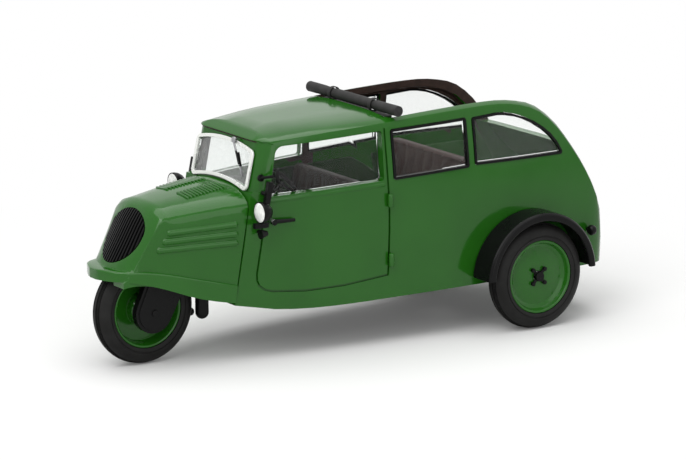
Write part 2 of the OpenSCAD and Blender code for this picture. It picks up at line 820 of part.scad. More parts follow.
// Lamps on the cowl sides
lamp_radius = 1.5;
lamp_x = screen_x + 0.8;
lamp_stand = 2.6;
lamp_z = belt_height - 1.9;
lamp_depth = 2;
lamp_root_x = lamp_x - 1.8;
lamp_bar_z = lamp_z - 2.1;
lamp_bar = 0.7;
lamp_bar_length = 2.2;
lamp_y = cabin_side(lamp_root_x, lamp_z) + lamp_stand;
bar_y = cabin_side(lamp_root_x, lamp_bar_z) + 1.4;
module headlamp(side) {
    color(SATIN_BLACK)
        union() {
            translate([lamp_x, side * lamp_y, lamp_z])
                rotate([0, -90, 0])
                    rotate_extrude()
                        polygon([
                            [0, 0.1], [lamp_radius - 0.15, 0.1], [lamp_radius, 0], [lamp_radius, 0.4],
                            [lamp_radius * 0.92, 0.9], [lamp_radius * 0.72, 1.4],
                            [lamp_radius * 0.42, 1.8], [0, lamp_depth]
                        ]);
            rod(
                [lamp_x - 0.9, side * lamp_y, lamp_z - 0.5], [lamp_x - 1, side * bar_y, lamp_bar_z],
                lamp_bar / 2 - 0.1, lamp_bar / 2 - 0.1
            );
            translate([
                lamp_x + 0.2 - lamp_bar_length, side * bar_y - lamp_bar / 2, lamp_bar_z - lamp_bar / 2
            ])
                cube([lamp_bar_length, lamp_bar, lamp_bar]);
            translate([lamp_root_x, side * bar_y, lamp_bar_z])
                rotate([side * 90, 0, 0])
                    cylinder(
                        r = lamp_bar / 2 - 0.05,
                        h = bar_y - cabin_side(lamp_root_x, lamp_bar_z) - seat_gap
                    );
        }
}
module headlamp_left() { headlamp(1); }
module headlamp_right() { headlamp(-1); }
lens_bulge = 0.5;
module headlamp_lens(side) {
    ball = (pow(lamp_radius - 0.15, 2) + pow(lens_bulge, 2)) / (2 * lens_bulge);
    color(SCREEN_SILVER)
        translate([lamp_x, side * lamp_y, lamp_z])
            rotate([0, 90, 0])
                intersection() {
                    translate([0, 0, lens_bulge - ball]) sphere(r = ball);
                    cylinder(r = lamp_radius, h = 2 * lens_bulge);
                }
}
module headlamp_lens_left() { headlamp_lens(1); }
module headlamp_lens_right() { headlamp_lens(-1); }
horn_x = lamp_x - 1.3;
horn_z = lamp_z - 3.3;
horn_radius = 0.7;
horn_reach = 1.5;
module horn() {
    y = cabin_side(horn_x, horn_z) + seat_gap;
    color(SATIN_BLACK)
        translate([horn_x, y, horn_z])
            union() {
                rotate([-90, 0, 0]) cylinder(r = 0.25, h = horn_reach);
                translate([-0.5, horn_reach, 0]) rotate([0, 90, 0])
                    cylinder(r1 = horn_radius / 2, r2 = horn_radius, h = 1.1);
            }
}

// Swinging direction arms on the front posts
arm_x = screen_x - 1.3;
arm_y = cabin_side(arm_x, belt_height) + 1.1;
arm_size = [0.8, 0.7, 3.1];
arm_drop = 1.2;
arm_tilt = 12;
module trafficator(side) {
    color(SATIN_BLACK)
        union() {
            translate([arm_x, side * arm_y, belt_height - arm_drop])
                rotate([0, -arm_tilt, 0])
                    translate([-arm_size[0] / 2, -arm_size[1] / 2, 0]) cube(arm_size);
            translate([arm_x, side * (cabin_side(arm_x, belt_height) + seat_gap), belt_height + 0.2])
                rotate([-side * 90, 0, 0])
                    cylinder(r = 0.3, h = arm_y - cabin_side(arm_x, belt_height) - seat_gap);
        }
}
module trafficator_left() { trafficator(1); }
module trafficator_right() { trafficator(-1); }
// Round mirror on the left front post
mirror_radius = 1.2;
mirror_thickness = 0.5;
mirror_reach = 3;
mirror_foot_z = belt_height + 2.3;
mirror_rise = 0.7;
mirror_turn = 30;
module door_mirror() {
    foot_x = screen_at(mirror_foot_z) - 0.6;
    foot_y = cabin_side(foot_x, mirror_foot_z) + seat_gap;
    head = [foot_x - 0.6, foot_y + mirror_reach, mirror_foot_z + mirror_rise];
    color(SATIN_BLACK)
        union() {
            translate([foot_x, foot_y, mirror_foot_z]) rotate([-90, 0, 0]) cylinder(r = 0.5, h = 0.3);
            rod([foot_x, foot_y + 0.15, mirror_foot_z], head, 0.2, 0.2);
            translate(head)
                rotate([0, 90, -mirror_turn])
                    translate([0, 0, -mirror_thickness])
                        cylinder(r1 = mirror_radius, r2 = mirror_radius * 0.75, h = mirror_thickness);
        }
}

// Handles near the front of the rear-hung doors, hinges at the back
handle_x = door_front_x;
handle_z = belt_height - 3.9;
handle_length = 3.2;
handle_stand = 0.6;
handle_root_r = 0.34;
handle_tip_r = 0.24;
module door_handle(side) {
    y = cabin_side(handle_x, handle_z);
    y2 = cabin_side(handle_x - handle_length, handle_z);
    color(SATIN_BLACK)
        union() {
            translate([handle_x, side * (y + seat_gap), handle_z])
                rotate([-side * 90, 0, 0]) cylinder(r = handle_root_r + 0.1, h = 2 * handle_stand - 0.1);
            rod(
                [handle_x, side * (y + handle_stand), handle_z],
                [handle_x - handle_length, side * (y2 + handle_stand), handle_z],
                handle_root_r, handle_tip_r
            );
        }
}
module door_handle_left() { door_handle(1); }
module door_handle_right() { door_handle(-1); }
HINGE_HEIGHTS = [belt_height - 2.8, sill_height + 5.4];
hinge_x = door_rear_x - 0.6;
hinge_radius = 0.4;
hinge_length = 1.9;
module door_hinges(side) {
    color(PAINT_GREEN)
        for (z = HINGE_HEIGHTS)
            translate([
                hinge_x, side * (cabin_side(hinge_x, z) + hinge_radius + seat_gap), z - hinge_length / 2
            ])
                cylinder(r = hinge_radius, h = hinge_length);
}
module door_hinges_left() { door_hinges(1); }
module door_hinges_right() { door_hinges(-1); }

// Rear mudguards: part rings round the wheels, fixed to the cabin sides
guard_inner = tyre_radius + mudguard_gap;
guard_outer = guard_inner + mudguard_edge;
guard_shell = 0.7;
guard_face = track / 2 + tyre_width / 2 + 0.7;
guard_low = sill_height + 1.1;
// Plan of the cabin beside the rear wheel, which the mudguard's root follows
module cabin_plan(side) {
    reach = guard_outer + 2;
    steps = 8;
    polygon(concat(
        [[rear_axle_x + reach, 0]],
        [
            for (i = [0 : steps])
                let (x = rear_axle_x + reach - 2 * reach * i / steps)
                [x, side * (cabin_half(x) + seat_gap)]
        ],
        [[rear_axle_x - reach, 0]]
    ));
}
module mudguard(side) {
    root = cabin_half(rear_axle_x) - 1;
    color(SATIN_BLACK)
        difference() {
            translate([rear_axle_x, 0, tyre_radius])
                rotate([-side * 90, 0, 0])
                    rotate_extrude($fn = 96)
                        polygon([
                            [guard_outer - guard_shell, root], [guard_outer, root],
                            [guard_outer, guard_face - 0.35], [guard_outer - 0.35, guard_face],
                            [guard_inner + 0.2, guard_face], [guard_inner, guard_face - 0.2],
                            [guard_inner, guard_face - 0.5], [guard_outer - guard_shell, guard_face - 0.8]
                        ]);
            translate([rear_axle_x - 2 * guard_outer, -2 * body_width, guard_low - 4 * guard_outer])
                cube([4 * guard_outer, 4 * body_width, 4 * guard_outer]);
            linear_extrude(4 * guard_outer) cabin_plan(side);
        }
}
module mudguard_left() { mudguard(1); }
module mudguard_right() { mudguard(-1); }
tail_lamp_x = tail_x + 4.4;
tail_lamp_z = sill_height + 5.4;
tail_lamp_radius = 0.75;
tail_lamp_stand = 0.2;
tail_stem_radius = 0.3;
module tail_lamp(side) {
    r = tail_lamp_radius;
    y = cabin_side(tail_lamp_x, tail_lamp_z) + seat_gap;
    color(SATIN_BLACK)
        translate([tail_lamp_x, side * y, tail_lamp_z])
            union() {
                translate([0, side * (r + tail_lamp_stand), 0])
                    rotate([0, -90, 0])
                        rotate_extrude()
                            polygon([
                                [0, -0.6 * r], [0.75 * r, -0.6 * r], [r, -0.3 * r], [r, 0.3 * r],
                                [0.87 * r, 0.6 * r], [0.5 * r, 0.9 * r], [0, r]
                            ]);
                rotate([-side * 90, 0, 0]) cylinder(r = tail_stem_radius, h = r);
            }
}
module tail_lamp_left() { tail_lamp(1); }
module tail_lamp_right() { tail_lamp(-1); }

// Base plate with the rear axle's carriers
plate_inset = wall + 2 * seat_gap;
plate_recess = 0.3;
plate_low = sill_height + plate_recess;
plate_top = plate_low + plate_thickness;
plate_front_x = screen_x - 4.6;
plate_rear_x = tail_x + 5.6;
keel_front_x = rear_axle_x + 19;
keel_length = 10;
keel_low = sill_height - 0.55;
PLATE_STEPS = 10;
function plate_x(i) = plate_front_x + (plate_rear_x - plate_front_x) * i / PLATE_STEPS;
function plate_half(x) = cabin_side(x, sill_height) - plate_inset;
keel_half = plate_half(keel_front_x) - seat_gap;
carrier_y = 9;
carrier_radius = 2.2;
carrier_width = 1.6;
screw_front_x = plate_front_x - 2.8;
boss_radius = screw_hole_radius + 1.2;
boss_height = 1.5;
module base_plate() {
    color(SATIN_BLACK)
        difference() {
            union() {
                translate([0, 0, plate_low])
                    linear_extrude(plate_thickness)
                        polygon(concat(
                            [for (i = [0 : PLATE_STEPS]) [plate_x(i), plate_half(plate_x(i))]],
                            [for (i = [PLATE_STEPS : -1 : 0]) [plate_x(i), -plate_half(plate_x(i))]]
                        ));
                translate([keel_front_x - keel_length, -keel_half, keel_low])
                    cube([keel_length, 2 * keel_half, plate_low + plate_thickness / 2 - keel_low]);
                for (side = [-1, 1])
                    translate([rear_axle_x, side * carrier_y, tyre_radius])
                        rotate([90, 0, 0])
                            cylinder(r = carrier_radius, h = carrier_width, center = true);
                for (x = [screw_front_x, screw_front_x - screw_spacing])
                    translate([x, 0, plate_low])
                        cylinder(r = boss_radius, h = plate_thickness + boss_height);
            }
            translate([rear_axle_x, 0, tyre_radius])
                rotate([90, 0, 0])
                    cylinder(r = axle_radius, h = body_width, center = true);
            for (x = [screw_front_x, screw_front_x - screw_spacing])
                translate([x, 0, 0])
                    cylinder(r = screw_hole_radius, h = 3 * sill_height);
        }
}

// Interior
tub_height = belt_height - 1.5;
tub_wall = 0.4;
tub_inset = wall + 3 * seat_gap;
tub_front_x = inner_front_x - 0.4;
tub_rear_x = tail_x + 9.5;
TUB_STEPS = 12;
function tub_x(i) = tub_front_x + (tub_rear_x - tub_front_x) * i / TUB_STEPS;
function tub_side(x) = cabin_side(x, tub_height) - tub_inset;
module interior_tub() {
    color(PAINT_GREEN)
        difference() {
            for (side = [-1, 1])
                translate([0, 0, plate_top + seat_gap])
                    linear_extrude(tub_height - plate_top - seat_gap)
                        polygon(concat(
                            [for (i = [0 : TUB_STEPS]) [tub_x(i), side * tub_side(tub_x(i))]],
                            [
                                for (i = [TUB_STEPS : -1 : 0])
                                    [tub_x(i), side * (tub_side(tub_x(i)) - tub_wall)]
                            ]
                        ));
            axle_tunnel();
        }
}
// A bench: cushion and raked back. Columns of the back's profile: along, above the cushion.
module bench(x, seat_z, back_z) {
    half = bench_half(x);
    foot = plate_top + seat_gap;
    rise = back_z - seat_z;
    translate([x, -half, foot]) cube([seat_depth, 2 * half, seat_z - foot]);
    translate([x, half, seat_z])
        rotate([90, 0, 0])
            linear_extrude(2 * half)
                polygon([[0, 0], [2, 0], [0.2, rise], [-1.4, rise], [-1, 0]]);
}
// The benches stand at shares of the room between the rear axle and the screen, and their
// cushions at a share of the height up to the windows
seat_depth = 7;
seat_play = 0.3;
cushion_share = 0.468;
front_seat_share = 0.585;
rear_seat_share = 0.179;
seat_height = plate_top + cushion_share * (belt_height - plate_top);
seat_room = screen_x - rear_axle_x;
front_seat_x = rear_axle_x + front_seat_share * seat_room;
rear_seat_x = rear_axle_x + rear_seat_share * seat_room;
function bench_half(x) = tub_side(x + seat_depth) - tub_wall - seat_play;
module front_seat() {
    color(SEAT_BROWN) bench(front_seat_x, seat_height, belt_height - 0.8);
}
module rear_seat() {
    color(SEAT_BROWN) bench(rear_seat_x, seat_height + 0.5, belt_height + 0.6);
}
module dashboard() {
    half = cabin_side(inner_front_x - 1, belt_height) - wall - 0.9;
    color(SATIN_BLACK)
        translate([inner_front_x - 1.9, -half, belt_height - 3.2])
            cube([1.4, 2 * half, 2.6]);
}
wheel_rim_r = 3.6;
wheel_side_room = 1.7;
wheel_x = inner_front_x - 6.5;
wheel_y = cabin_side(wheel_x, belt_height) - wall - wheel_rim_r - wheel_side_room;
module steering_wheel() {
    color(SATIN_BLACK)
        translate([wheel_x, wheel_y, belt_height - 0.2])
            rotate([0, -50, 0])
                union() {
                    rotate_extrude() translate([wheel_rim_r, 0]) circle(r = 0.25);
                    for (a = [0, 120, 240])
                        rotate([0, 0, a]) translate([0, -0.2, -0.15]) cube([wheel_rim_r, 0.4, 0.3]);
                    cylinder(r = 0.6, h = 0.5, center = true);
                    rotate([180, 0, 0]) cylinder(r = 0.3, h = 8.1);
                }
}

// Front wheel's carriers: chain case on the left, plain arm on the right
case_y = tyre_width / 2 + 0.5;
case_thickness = 1.1;
case_radius = 2.9;
case_top_x = front_axle_x - 3;
case_top_z = tyre_radius + 6;
cover_inset = 0.45;
cover_height = 0.2;
bolt_radius = 0.5;
bolt_height = 0.2;
module case_outline(r, top_z) {
    hull() {
        translate([front_axle_x, tyre_radius]) circle(r = r, $fn = 32);
        translate([case_top_x, top_z]) circle(r = r + 0.3, $fn = 32);
    }
}
module chain_case() {
    color(SATIN_BLACK)
        difference() {
            union() {
                translate([0, case_y + case_thickness, 0])
                    rotate([90, 0, 0])
                        linear_extrude(case_thickness) case_outline(case_radius, case_top_z);
                translate([0, case_y + case_thickness + cover_height, 0])
                    rotate([90, 0, 0])
                        linear_extrude(2 * cover_height)
                            case_outline(case_radius - cover_inset, case_top_z);
                translate([front_axle_x, case_y + case_thickness + cover_height + bolt_height, tyre_radius])
                    rotate([90, 0, 0]) cylinder(r = bolt_radius, h = 2 * bolt_height);
            }
            translate([front_axle_x, 0, tyre_radius])
                rotate([90, 0, 0])
                    cylinder(r = axle_radius, h = 2 * (case_y + case_thickness - 0.2), center = true);
        }
}
arm_thickness = 0.8;
arm_radius = 1.4;
module fork_arm() {
    color(SATIN_BLACK)
        difference() {
            translate([0, -case_y, 0])
                rotate([90, 0, 0])
                    linear_extrude(arm_thickness) case_outline(arm_radius, crown_low + 0.6);
            translate([front_axle_x, 0, tyre_radius])
                rotate([90, 0, 0]) cylinder(r = axle_radius, h = 20, center = true);
        }
}
// Bridge over the tyre, with the steering post up to the bonnet
crown_low = 2 * tyre_radius + 0.6;
crown_thickness = 1.2;
crown_length = 2.6;
post_radius = 1.1;
module fork_crown() {
    top = bonnet_crown(case_top_x + post_radius) - wall - 3 * seat_gap;
    color(SATIN_BLACK)
        union() {
            translate([case_top_x - crown_length / 2, seat_gap - case_y, crown_low])
                cube([crown_length, 2 * (case_y - seat_gap), crown_thickness]);
            translate([case_top_x, 0, crown_low]) cylinder(r = post_radius, h = top - crown_low);
        }
}
lever_radius = 0.3;
lever_ball = 0.6;
lever_reach = 1.7;
lever_fall = 2.4;
module brake_lever() {
    y = -case_y - arm_thickness - lever_radius - seat_gap;
    start = [front_axle_x - 0.5, y, tyre_radius];
    tip = [front_axle_x - tyre_radius - lever_reach, y + 0.4, tyre_radius - lever_fall];
    color(SATIN_BLACK)
        union() {
            rod(start, tip, lever_radius, lever_radius);
            translate(tip) sphere(r = lever_ball);
        }
}
exhaust_gap = 0.7;
exhaust_x = front_axle_x - tyre_radius - exhaust_gap;
exhaust_y = 2;
exhaust_radius = 0.95;
exhaust_low = sill_height - 0.7;
module exhaust_pipe() {
    top = bonnet_top(exhaust_x, exhaust_y + exhaust_radius) - wall - 3 * seat_gap;
    color(SATIN_BLACK)
        translate([exhaust_x, exhaust_y, exhaust_low])
            union() {
                cylinder(r = exhaust_radius, h = top - exhaust_low);
                sphere(r = exhaust_radius);
            }
}
axle_fit = 0.02;
module front_axle() {
    color(SATIN_BLACK)
        translate([front_axle_x, 0, tyre_radius])
            rotate([90, 0, 0])
                cylinder(
                    r = axle_radius - axle_fit, h = 2 * (case_y + case_thickness - 0.3), center = true
                );
}
axle_end = track / 2 + 0.2;
module rear_axle() {
    color(SATIN_BLACK)
        translate([rear_axle_x, 0, tyre_radius])
            rotate([90, 0, 0])
                cylinder(r = axle_radius - axle_fit, h = 2 * axle_end, center = true);
}

// Wheels, drawn with the axle along Z and the outer face up
tyre_seat = 0.02;
tyre_middle = tyre_radius - tyre_width / 2;
bead_half = tyre_width / 2 - 0.3;
module tyre() {
    color(TYRE_BLACK)
        rotate_extrude($fn = 96)
            difference() {
                union() {
                    translate([tyre_middle, 0]) circle(r = tyre_width / 2);
                    polygon([
                        [rim_radius, -bead_half], [tyre_middle, -tyre_width / 2],
                        [tyre_middle, tyre_width / 2], [rim_radius, bead_half]
                    ]);
                }
                translate([0, -tyre_width]) square([rim_radius + tyre_seat, 2 * tyre_width]);
            }
}
// Profiles of the rims: radius, height along the axle
lip = tyre_width / 2 - 0.15;
module rear_rim() {
    bore = axle_radius + axle_play;
    color(PAINT_GREEN)
        rotate_extrude($fn = 96)
            polygon([
                [bore, -0.9], [1.8, -0.9], [2.2, -0.3], [rim_radius - 0.5, -0.3], [rim_radius - 0.5, -lip],
                [rim_radius, -lip], [rim_radius, lip - 0.15], [rim_radius - 0.15, lip],
                [rim_radius - 0.4, lip - 0.1], [rim_radius - 0.65, 0.75], [rim_radius - 1, 0.65],
                [rim_radius - 1.15, 0.5], [2.4, 0.75], [1.4, 0.8], [bore, 0.8]
            ]);
}
module front_rim_shape() {
    bore = axle_radius + axle_play;
    color(PAINT_GREEN)
        rotate_extrude($fn = 96)
            polygon([
                [bore, -1.2], [1.6, -1.2], [2, -0.9], [rim_radius - 0.6, -1], [rim_radius - 0.5, -lip],
                [rim_radius, -lip], [rim_radius, lip - 0.15], [rim_radius - 0.15, lip],
                [rim_radius - 0.4, lip - 0.1], [rim_radius - 0.6, 0.8], [rim_radius - 0.8, -0.3],
                [2.4, -0.3], [2.2, 0.9], [1.9, 1.2], [bore, 1.2]
            ]);
}
spider_seat = 0.82;
spider_reach = 1.4;
spider_width = 0.4;
spider_height = 0.3;
cap_radius = 0.68;
cap_height = 0.6;
lug_radius = 0.3;
module hub_spider() {
    color(SATIN_BLACK)
        union() {
            translate([0, 0, spider_seat]) cylinder(r = cap_radius, h = cap_height);
            for (a = [45 : 90 : 315])
                rotate([0, 0, a]) {
                    translate([0, -spider_width / 2, spider_seat])
                        cube([spider_reach, spider_width, spider_height]);
                    translate([spider_reach, 0, spider_seat])
                        cylinder(r = lug_radius, h = spider_height + 0.15);
                }
        }
}
module on_axle(x, y, side) {
    translate([x, y, tyre_radius]) rotate([-side * 90, 0, 0]) children();
}
module front_tyre() { on_axle(front_axle_x, 0, 1) tyre(); }
module front_rim() { on_axle(front_axle_x, 0, 1) front_rim_shape(); }
module rear_tyre_left() { on_axle(rear_axle_x, track / 2, 1) tyre(); }
module rear_rim_left() { on_axle(rear_axle_x, track / 2, 1) rear_rim(); }
module hub_spider_left() { on_axle(rear_axle_x, track / 2, 1) hub_spider(); }
module rear_tyre_right() { on_axle(rear_axle_x, -track / 2, -1) tyre(); }
module rear_rim_right() { on_axle(rear_axle_x, -track / 2, -1) rear_rim(); }
module hub_spider_right() { on_axle(rear_axle_x, -track / 2, -1) hub_spider(); }

nose_shell();
cabin_shell();
grille();
windscreen_frame();
windscreen_glass();
wiper();
side_glass_left();
side_glass_right();
window_trim_left();
window_trim_right();
roof_roll();
roll_straps();
roof_flap();
headlamp_left();
headlamp_right();
headlamp_lens_left();
headlamp_lens_right();
horn();
trafficator_left();
trafficator_right();
door_mirror();
door_handle_left();
door_handle_right();
door_hinges_left();
door_hinges_right();
mudguard_left();
mudguard_right();
tail_lamp_left();
tail_lamp_right();
base_plate();
interior_tub();
front_seat();
rear_seat();
dashboard();
steering_wheel();
chain_case();
fork_arm();
fork_crown();
brake_lever();
exhaust_pipe();
front_axle();
rear_axle();
front_tyre();
front_rim();
rear_tyre_left();
rear_rim_left();
hub_spider_left();
rear_tyre_right();
rear_rim_right();
hub_spider_right();
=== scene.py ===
# %% [markdown]
# # Dressing a three-wheeled model car
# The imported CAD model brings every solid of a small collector's car: an estate with one wheel in
# front, two behind and its cloth roof rolled back. This lesson gives it paint, rubber, clear panes
# and the fine details that a machinist's model leaves out. All lengths are in metres, so a
# millimetre is written as a multiple of MM.

# %% Load the frame
import json
import math

import bmesh
import bpy
from mathutils import Matrix, Vector


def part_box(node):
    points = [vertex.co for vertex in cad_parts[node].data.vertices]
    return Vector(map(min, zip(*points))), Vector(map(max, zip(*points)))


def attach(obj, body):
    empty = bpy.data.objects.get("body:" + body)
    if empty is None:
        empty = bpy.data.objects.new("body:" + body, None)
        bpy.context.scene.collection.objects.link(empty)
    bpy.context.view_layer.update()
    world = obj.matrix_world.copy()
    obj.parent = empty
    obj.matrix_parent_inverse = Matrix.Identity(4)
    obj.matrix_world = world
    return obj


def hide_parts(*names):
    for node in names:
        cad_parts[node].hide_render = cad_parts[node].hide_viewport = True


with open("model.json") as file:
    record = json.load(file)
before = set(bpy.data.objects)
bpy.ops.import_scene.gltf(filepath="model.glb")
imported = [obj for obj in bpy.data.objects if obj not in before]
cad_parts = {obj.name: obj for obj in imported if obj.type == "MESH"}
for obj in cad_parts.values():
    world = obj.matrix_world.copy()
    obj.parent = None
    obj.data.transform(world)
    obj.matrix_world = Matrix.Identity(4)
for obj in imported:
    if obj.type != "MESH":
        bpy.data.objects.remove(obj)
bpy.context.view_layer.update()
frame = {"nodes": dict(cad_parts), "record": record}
nodes = frame["nodes"]
MM = 0.001

# %% [markdown]
# ## The camera
# The picture that we follow was taken with a long lens from the left front, a little above the
# model. A long lens keeps the far side almost as large as the near side. The lens is given by its
# focal length in pixels of a picture 686 wide, and Blender wants it in millimetres of a 36 mm
# sensor, so one line converts it.

# %% Place the camera
PICTURE_WIDTH = 686
FOCAL_PIXELS = 4000
SENSOR_WIDTH = 36
CAMERA_AZIMUTH = math.radians(146.95)
CAMERA_ELEVATION = math.radians(13.05)
CAMERA_ROLL = math.radians(-0.38)
CAMERA_DISTANCE = 571.05 * MM
CAMERA_TARGET = Vector((-1.21, 0, 14.48)) * MM

back = Vector((
    math.sin(CAMERA_AZIMUTH) * math.cos(CAMERA_ELEVATION),
    -math.cos(CAMERA_AZIMUTH) * math.cos(CAMERA_ELEVATION),
    math.sin(CAMERA_ELEVATION),
))
level_right = Vector((math.cos(CAMERA_AZIMUTH), math.sin(CAMERA_AZIMUTH), 0))
level_up = back.cross(level_right)
right = level_right * math.cos(CAMERA_ROLL) + level_up * math.sin(CAMERA_ROLL)
up = level_up * math.cos(CAMERA_ROLL) - level_right * math.sin(CAMERA_ROLL)

bpy.ops.object.camera_add()
camera = bpy.context.object
camera.data.sensor_fit = "HORIZONTAL"
camera.data.sensor_width = SENSOR_WIDTH
camera.data.lens = FOCAL_PIXELS * SENSOR_WIDTH / PICTURE_WIDTH
turn = Matrix((right, up, back)).transposed().to_4x4()
camera.matrix_world = Matrix.Translation(CAMERA_TARGET + back * CAMERA_DISTANCE) @ turn
bpy.context.scene.camera = camera
print("lens:", round(camera.data.lens, 1), "mm")

# %% [markdown]
# ## Helpers for working as by hand
# Operators act on whatever is selected. Each step therefore starts by clearing the selection, and
# small functions say once how to enter a mesh, how to leave it, and how a new piece's place, turn
# and size go into its mesh.


# %% Selection and edit mode
def clear_selection():
    """Leaves edit mode and selects nothing."""
    if bpy.context.object and bpy.context.object.mode != "OBJECT":
        bpy.ops.object.mode_set(mode="OBJECT")
    bpy.ops.object.select_all(action="DESELECT")


def take(obj):
    """Makes one object the only selected and the active one."""
    clear_selection()
    obj.select_set(True)
    bpy.context.view_layer.objects.active = obj


def edit_all(obj):
    """Enters edit mode with the whole mesh selected."""
    take(obj)
    bpy.ops.object.mode_set(mode="EDIT")
    bpy.ops.mesh.select_all(action="SELECT")


def leave_edit():
    """Goes back to object mode."""
    bpy.ops.object.mode_set(mode="OBJECT")


def settle(obj):
    """Moves the object's place, turn and scale into its mesh."""
    take(obj)
    bpy.ops.object.transform_apply(location=True, rotation=True, scale=True)
    return obj


# %% [markdown]
# By hand we would click on faces and points to pick them. In a script they are found by where they
# lie and which way they look, so the same ones are found when the solid changes a little.


# %% Modifiers, shading and picking
def apply_modifier(obj, kind, **settings):
    """Adds one modifier, sets it and applies it."""
    take(obj)
    modifier = obj.modifiers.new(kind.lower(), kind)
    for key, value in settings.items():
        setattr(modifier, key, value)
    bpy.ops.object.modifier_apply(modifier=modifier.name)


def smooth(obj, degrees):
    """Smooth shading, with edges sharper than the angle kept crisp."""
    take(obj)
    bpy.ops.object.shade_smooth_by_angle(angle=math.radians(degrees))


def pick(obj, kind, passes):
    """In edit mode, selects the faces or points that pass, and counts them."""
    bpy.ops.mesh.select_mode(type=kind)
    bpy.ops.mesh.select_all(action="DESELECT")
    mesh = bmesh.from_edit_mesh(obj.data)
    found = [e for e in (mesh.faces if kind == "FACE" else mesh.verts) if passes(e)]
    for element in found:
        element.select_set(True)
    mesh.select_flush_mode()
    bmesh.update_edit_mesh(obj.data)
    return len(found)


def pick_faces(obj, test):
    """Picks the faces whose middle and normal pass the test."""
    return pick(obj, "FACE", lambda face: test(face.calc_center_median(), face.normal))


# %% [markdown]
# A piece is handed over by one function: it names the piece, paints it and hides the solid that it
# stands for. The piece rides on that solid's body. The solids come as loose triangles, so a copy
# is welded and its flat faces are made whole before it is worked on.

# %% Handing over, and copies of solids
WELD_DISTANCE = 0.0005 * MM
FLAT_ANGLE = math.radians(0.3)
slot_of = {row["node"]: row["material_slot"] for row in frame["record"]["subparts"]}
body_of = {n: b for b, members in frame["record"]["behaviour"]["bodies"].items() for n in members}


def hand_over(obj, name, node, finishes):
    """Names the piece, paints it and lets it ride on the body of the solid it stands for."""
    obj.name = name
    obj.data.name = name
    obj.data.materials.clear()
    for material in finishes:
        obj.data.materials.append(material)
    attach(obj, body_of[node])
    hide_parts(node)
    print(name, "faces:", len(obj.data.polygons))
    return obj


def merged_copy(node):
    """A copy of a solid's mesh with its loose triangles joined and its flat faces made whole."""
    copy = bpy.data.objects.new(node + "_copy", nodes[node].data.copy())
    bpy.context.scene.collection.objects.link(copy)
    edit_all(copy)
    bpy.ops.mesh.remove_doubles(threshold=WELD_DISTANCE)
    bpy.ops.mesh.dissolve_limited(angle_limit=FLAT_ANGLE)
    leave_edit()
    return copy


# %% [markdown]
# ## Finishes
# Each finish is a node material. The pattern in it reads Object coordinates, because every piece
# keeps its place in its mesh, so a speck of one size is that size on every piece. Noise mostly
# stays near the middle of its range, so a ramp spreads out that middle. Numbers that are the same
# all over sit on the shader itself.

# %% Small tools for node materials
PATTERN_LOW = 0.35
PATTERN_HIGH = 0.65


def new_finish(name, colour, roughness, **sockets):
    """A Principled material with its plain values on the shader's own sockets."""
    material = bpy.data.materials.new(name)
    material.use_nodes = True
    shader = material.node_tree.nodes["Principled BSDF"]
    shader.inputs["Base Color"].default_value = (*colour, 1)
    shader.inputs["Roughness"].default_value = roughness
    for key, value in sockets.items():
        shader.inputs[key.replace("_", " ")].default_value = value
    return material


def noise(material, size, detail=2):
    """Noise with blotches of about the given size, read from Object coordinates."""
    tree = material.node_tree
    place = tree.nodes.new("ShaderNodeTexCoord")
    texture = tree.nodes.new("ShaderNodeTexNoise")
    texture.inputs["Scale"].default_value = 1 / size
    texture.inputs["Detail"].default_value = detail
    tree.links.new(place.outputs["Object"], texture.inputs["Vector"])
    return texture.outputs["Fac"]


def mottle(material, pattern, socket, low, high):
    """Lets a pattern carry a colour or a number of the shader from one value to another."""
    tree = material.node_tree
    ramp = tree.nodes.new("ShaderNodeValToRGB")
    ends = [v if isinstance(v, tuple) else (v, v, v) for v in (low, high)]
    ramp.color_ramp.elements[0].position = PATTERN_LOW
    ramp.color_ramp.elements[1].position = PATTERN_HIGH
    for element, value in zip(ramp.color_ramp.elements, ends):
        element.color = (*value, 1)
    tree.links.new(pattern, ramp.inputs["Fac"])
    tree.links.new(ramp.outputs["Color"], tree.nodes["Principled BSDF"].inputs[socket])


def relief(material, pattern, depth, strength):
    """A bump of the given depth in metres."""
    tree = material.node_tree
    bump = tree.nodes.new("ShaderNodeBump")
    bump.inputs["Distance"].default_value = depth
    bump.inputs["Strength"].default_value = strength
    tree.links.new(pattern, bump.inputs["Height"])
    tree.links.new(bump.outputs["Normal"], tree.nodes["Principled BSDF"].inputs["Normal"])


# %% [markdown]
# ### Gloss enamel
# The body is cast and sprayed in a deep green that is darker than it looks: half of what the eye
# takes for its colour is the pale room reflected in the gloss. So the colour is set deep, the
# roughness low, and a faint waviness of the sprayed coat breaks the reflections a little.

# %% Green enamel
green = new_finish("enamel_green", (0.012, 0.09, 0.0055), 0.12, Specular_IOR_Level=0.3)
mottle(green, noise(green, size=9 * MM), "Base Color",
       low=(0.011, 0.085, 0.005), high=(0.013, 0.096, 0.006))
mottle(green, noise(green, size=2.5 * MM), "Roughness", low=0.09, high=0.15)
relief(green, noise(green, size=1.6 * MM, detail=1), depth=0.003 * MM, strength=0.3)
print("finish:", green.name)

# %% [markdown]
# ### Black lacquer and rubber
# Lamps, mudguards and running gear are lacquered in satin black, and the tyres are soft rubber with
# a dusty bloom. Both would look grey with the usual gloss, because they mirror a white room, so
# their specular level is set low.

# %% Black finishes
black = new_finish("satin_black", (0.0035, 0.0035, 0.0037), 0.3, Specular_IOR_Level=0.12)
mottle(black, noise(black, size=3 * MM), "Roughness", low=0.24, high=0.36)
relief(black, noise(black, size=0.5 * MM, detail=1), depth=0.003 * MM, strength=0.3)

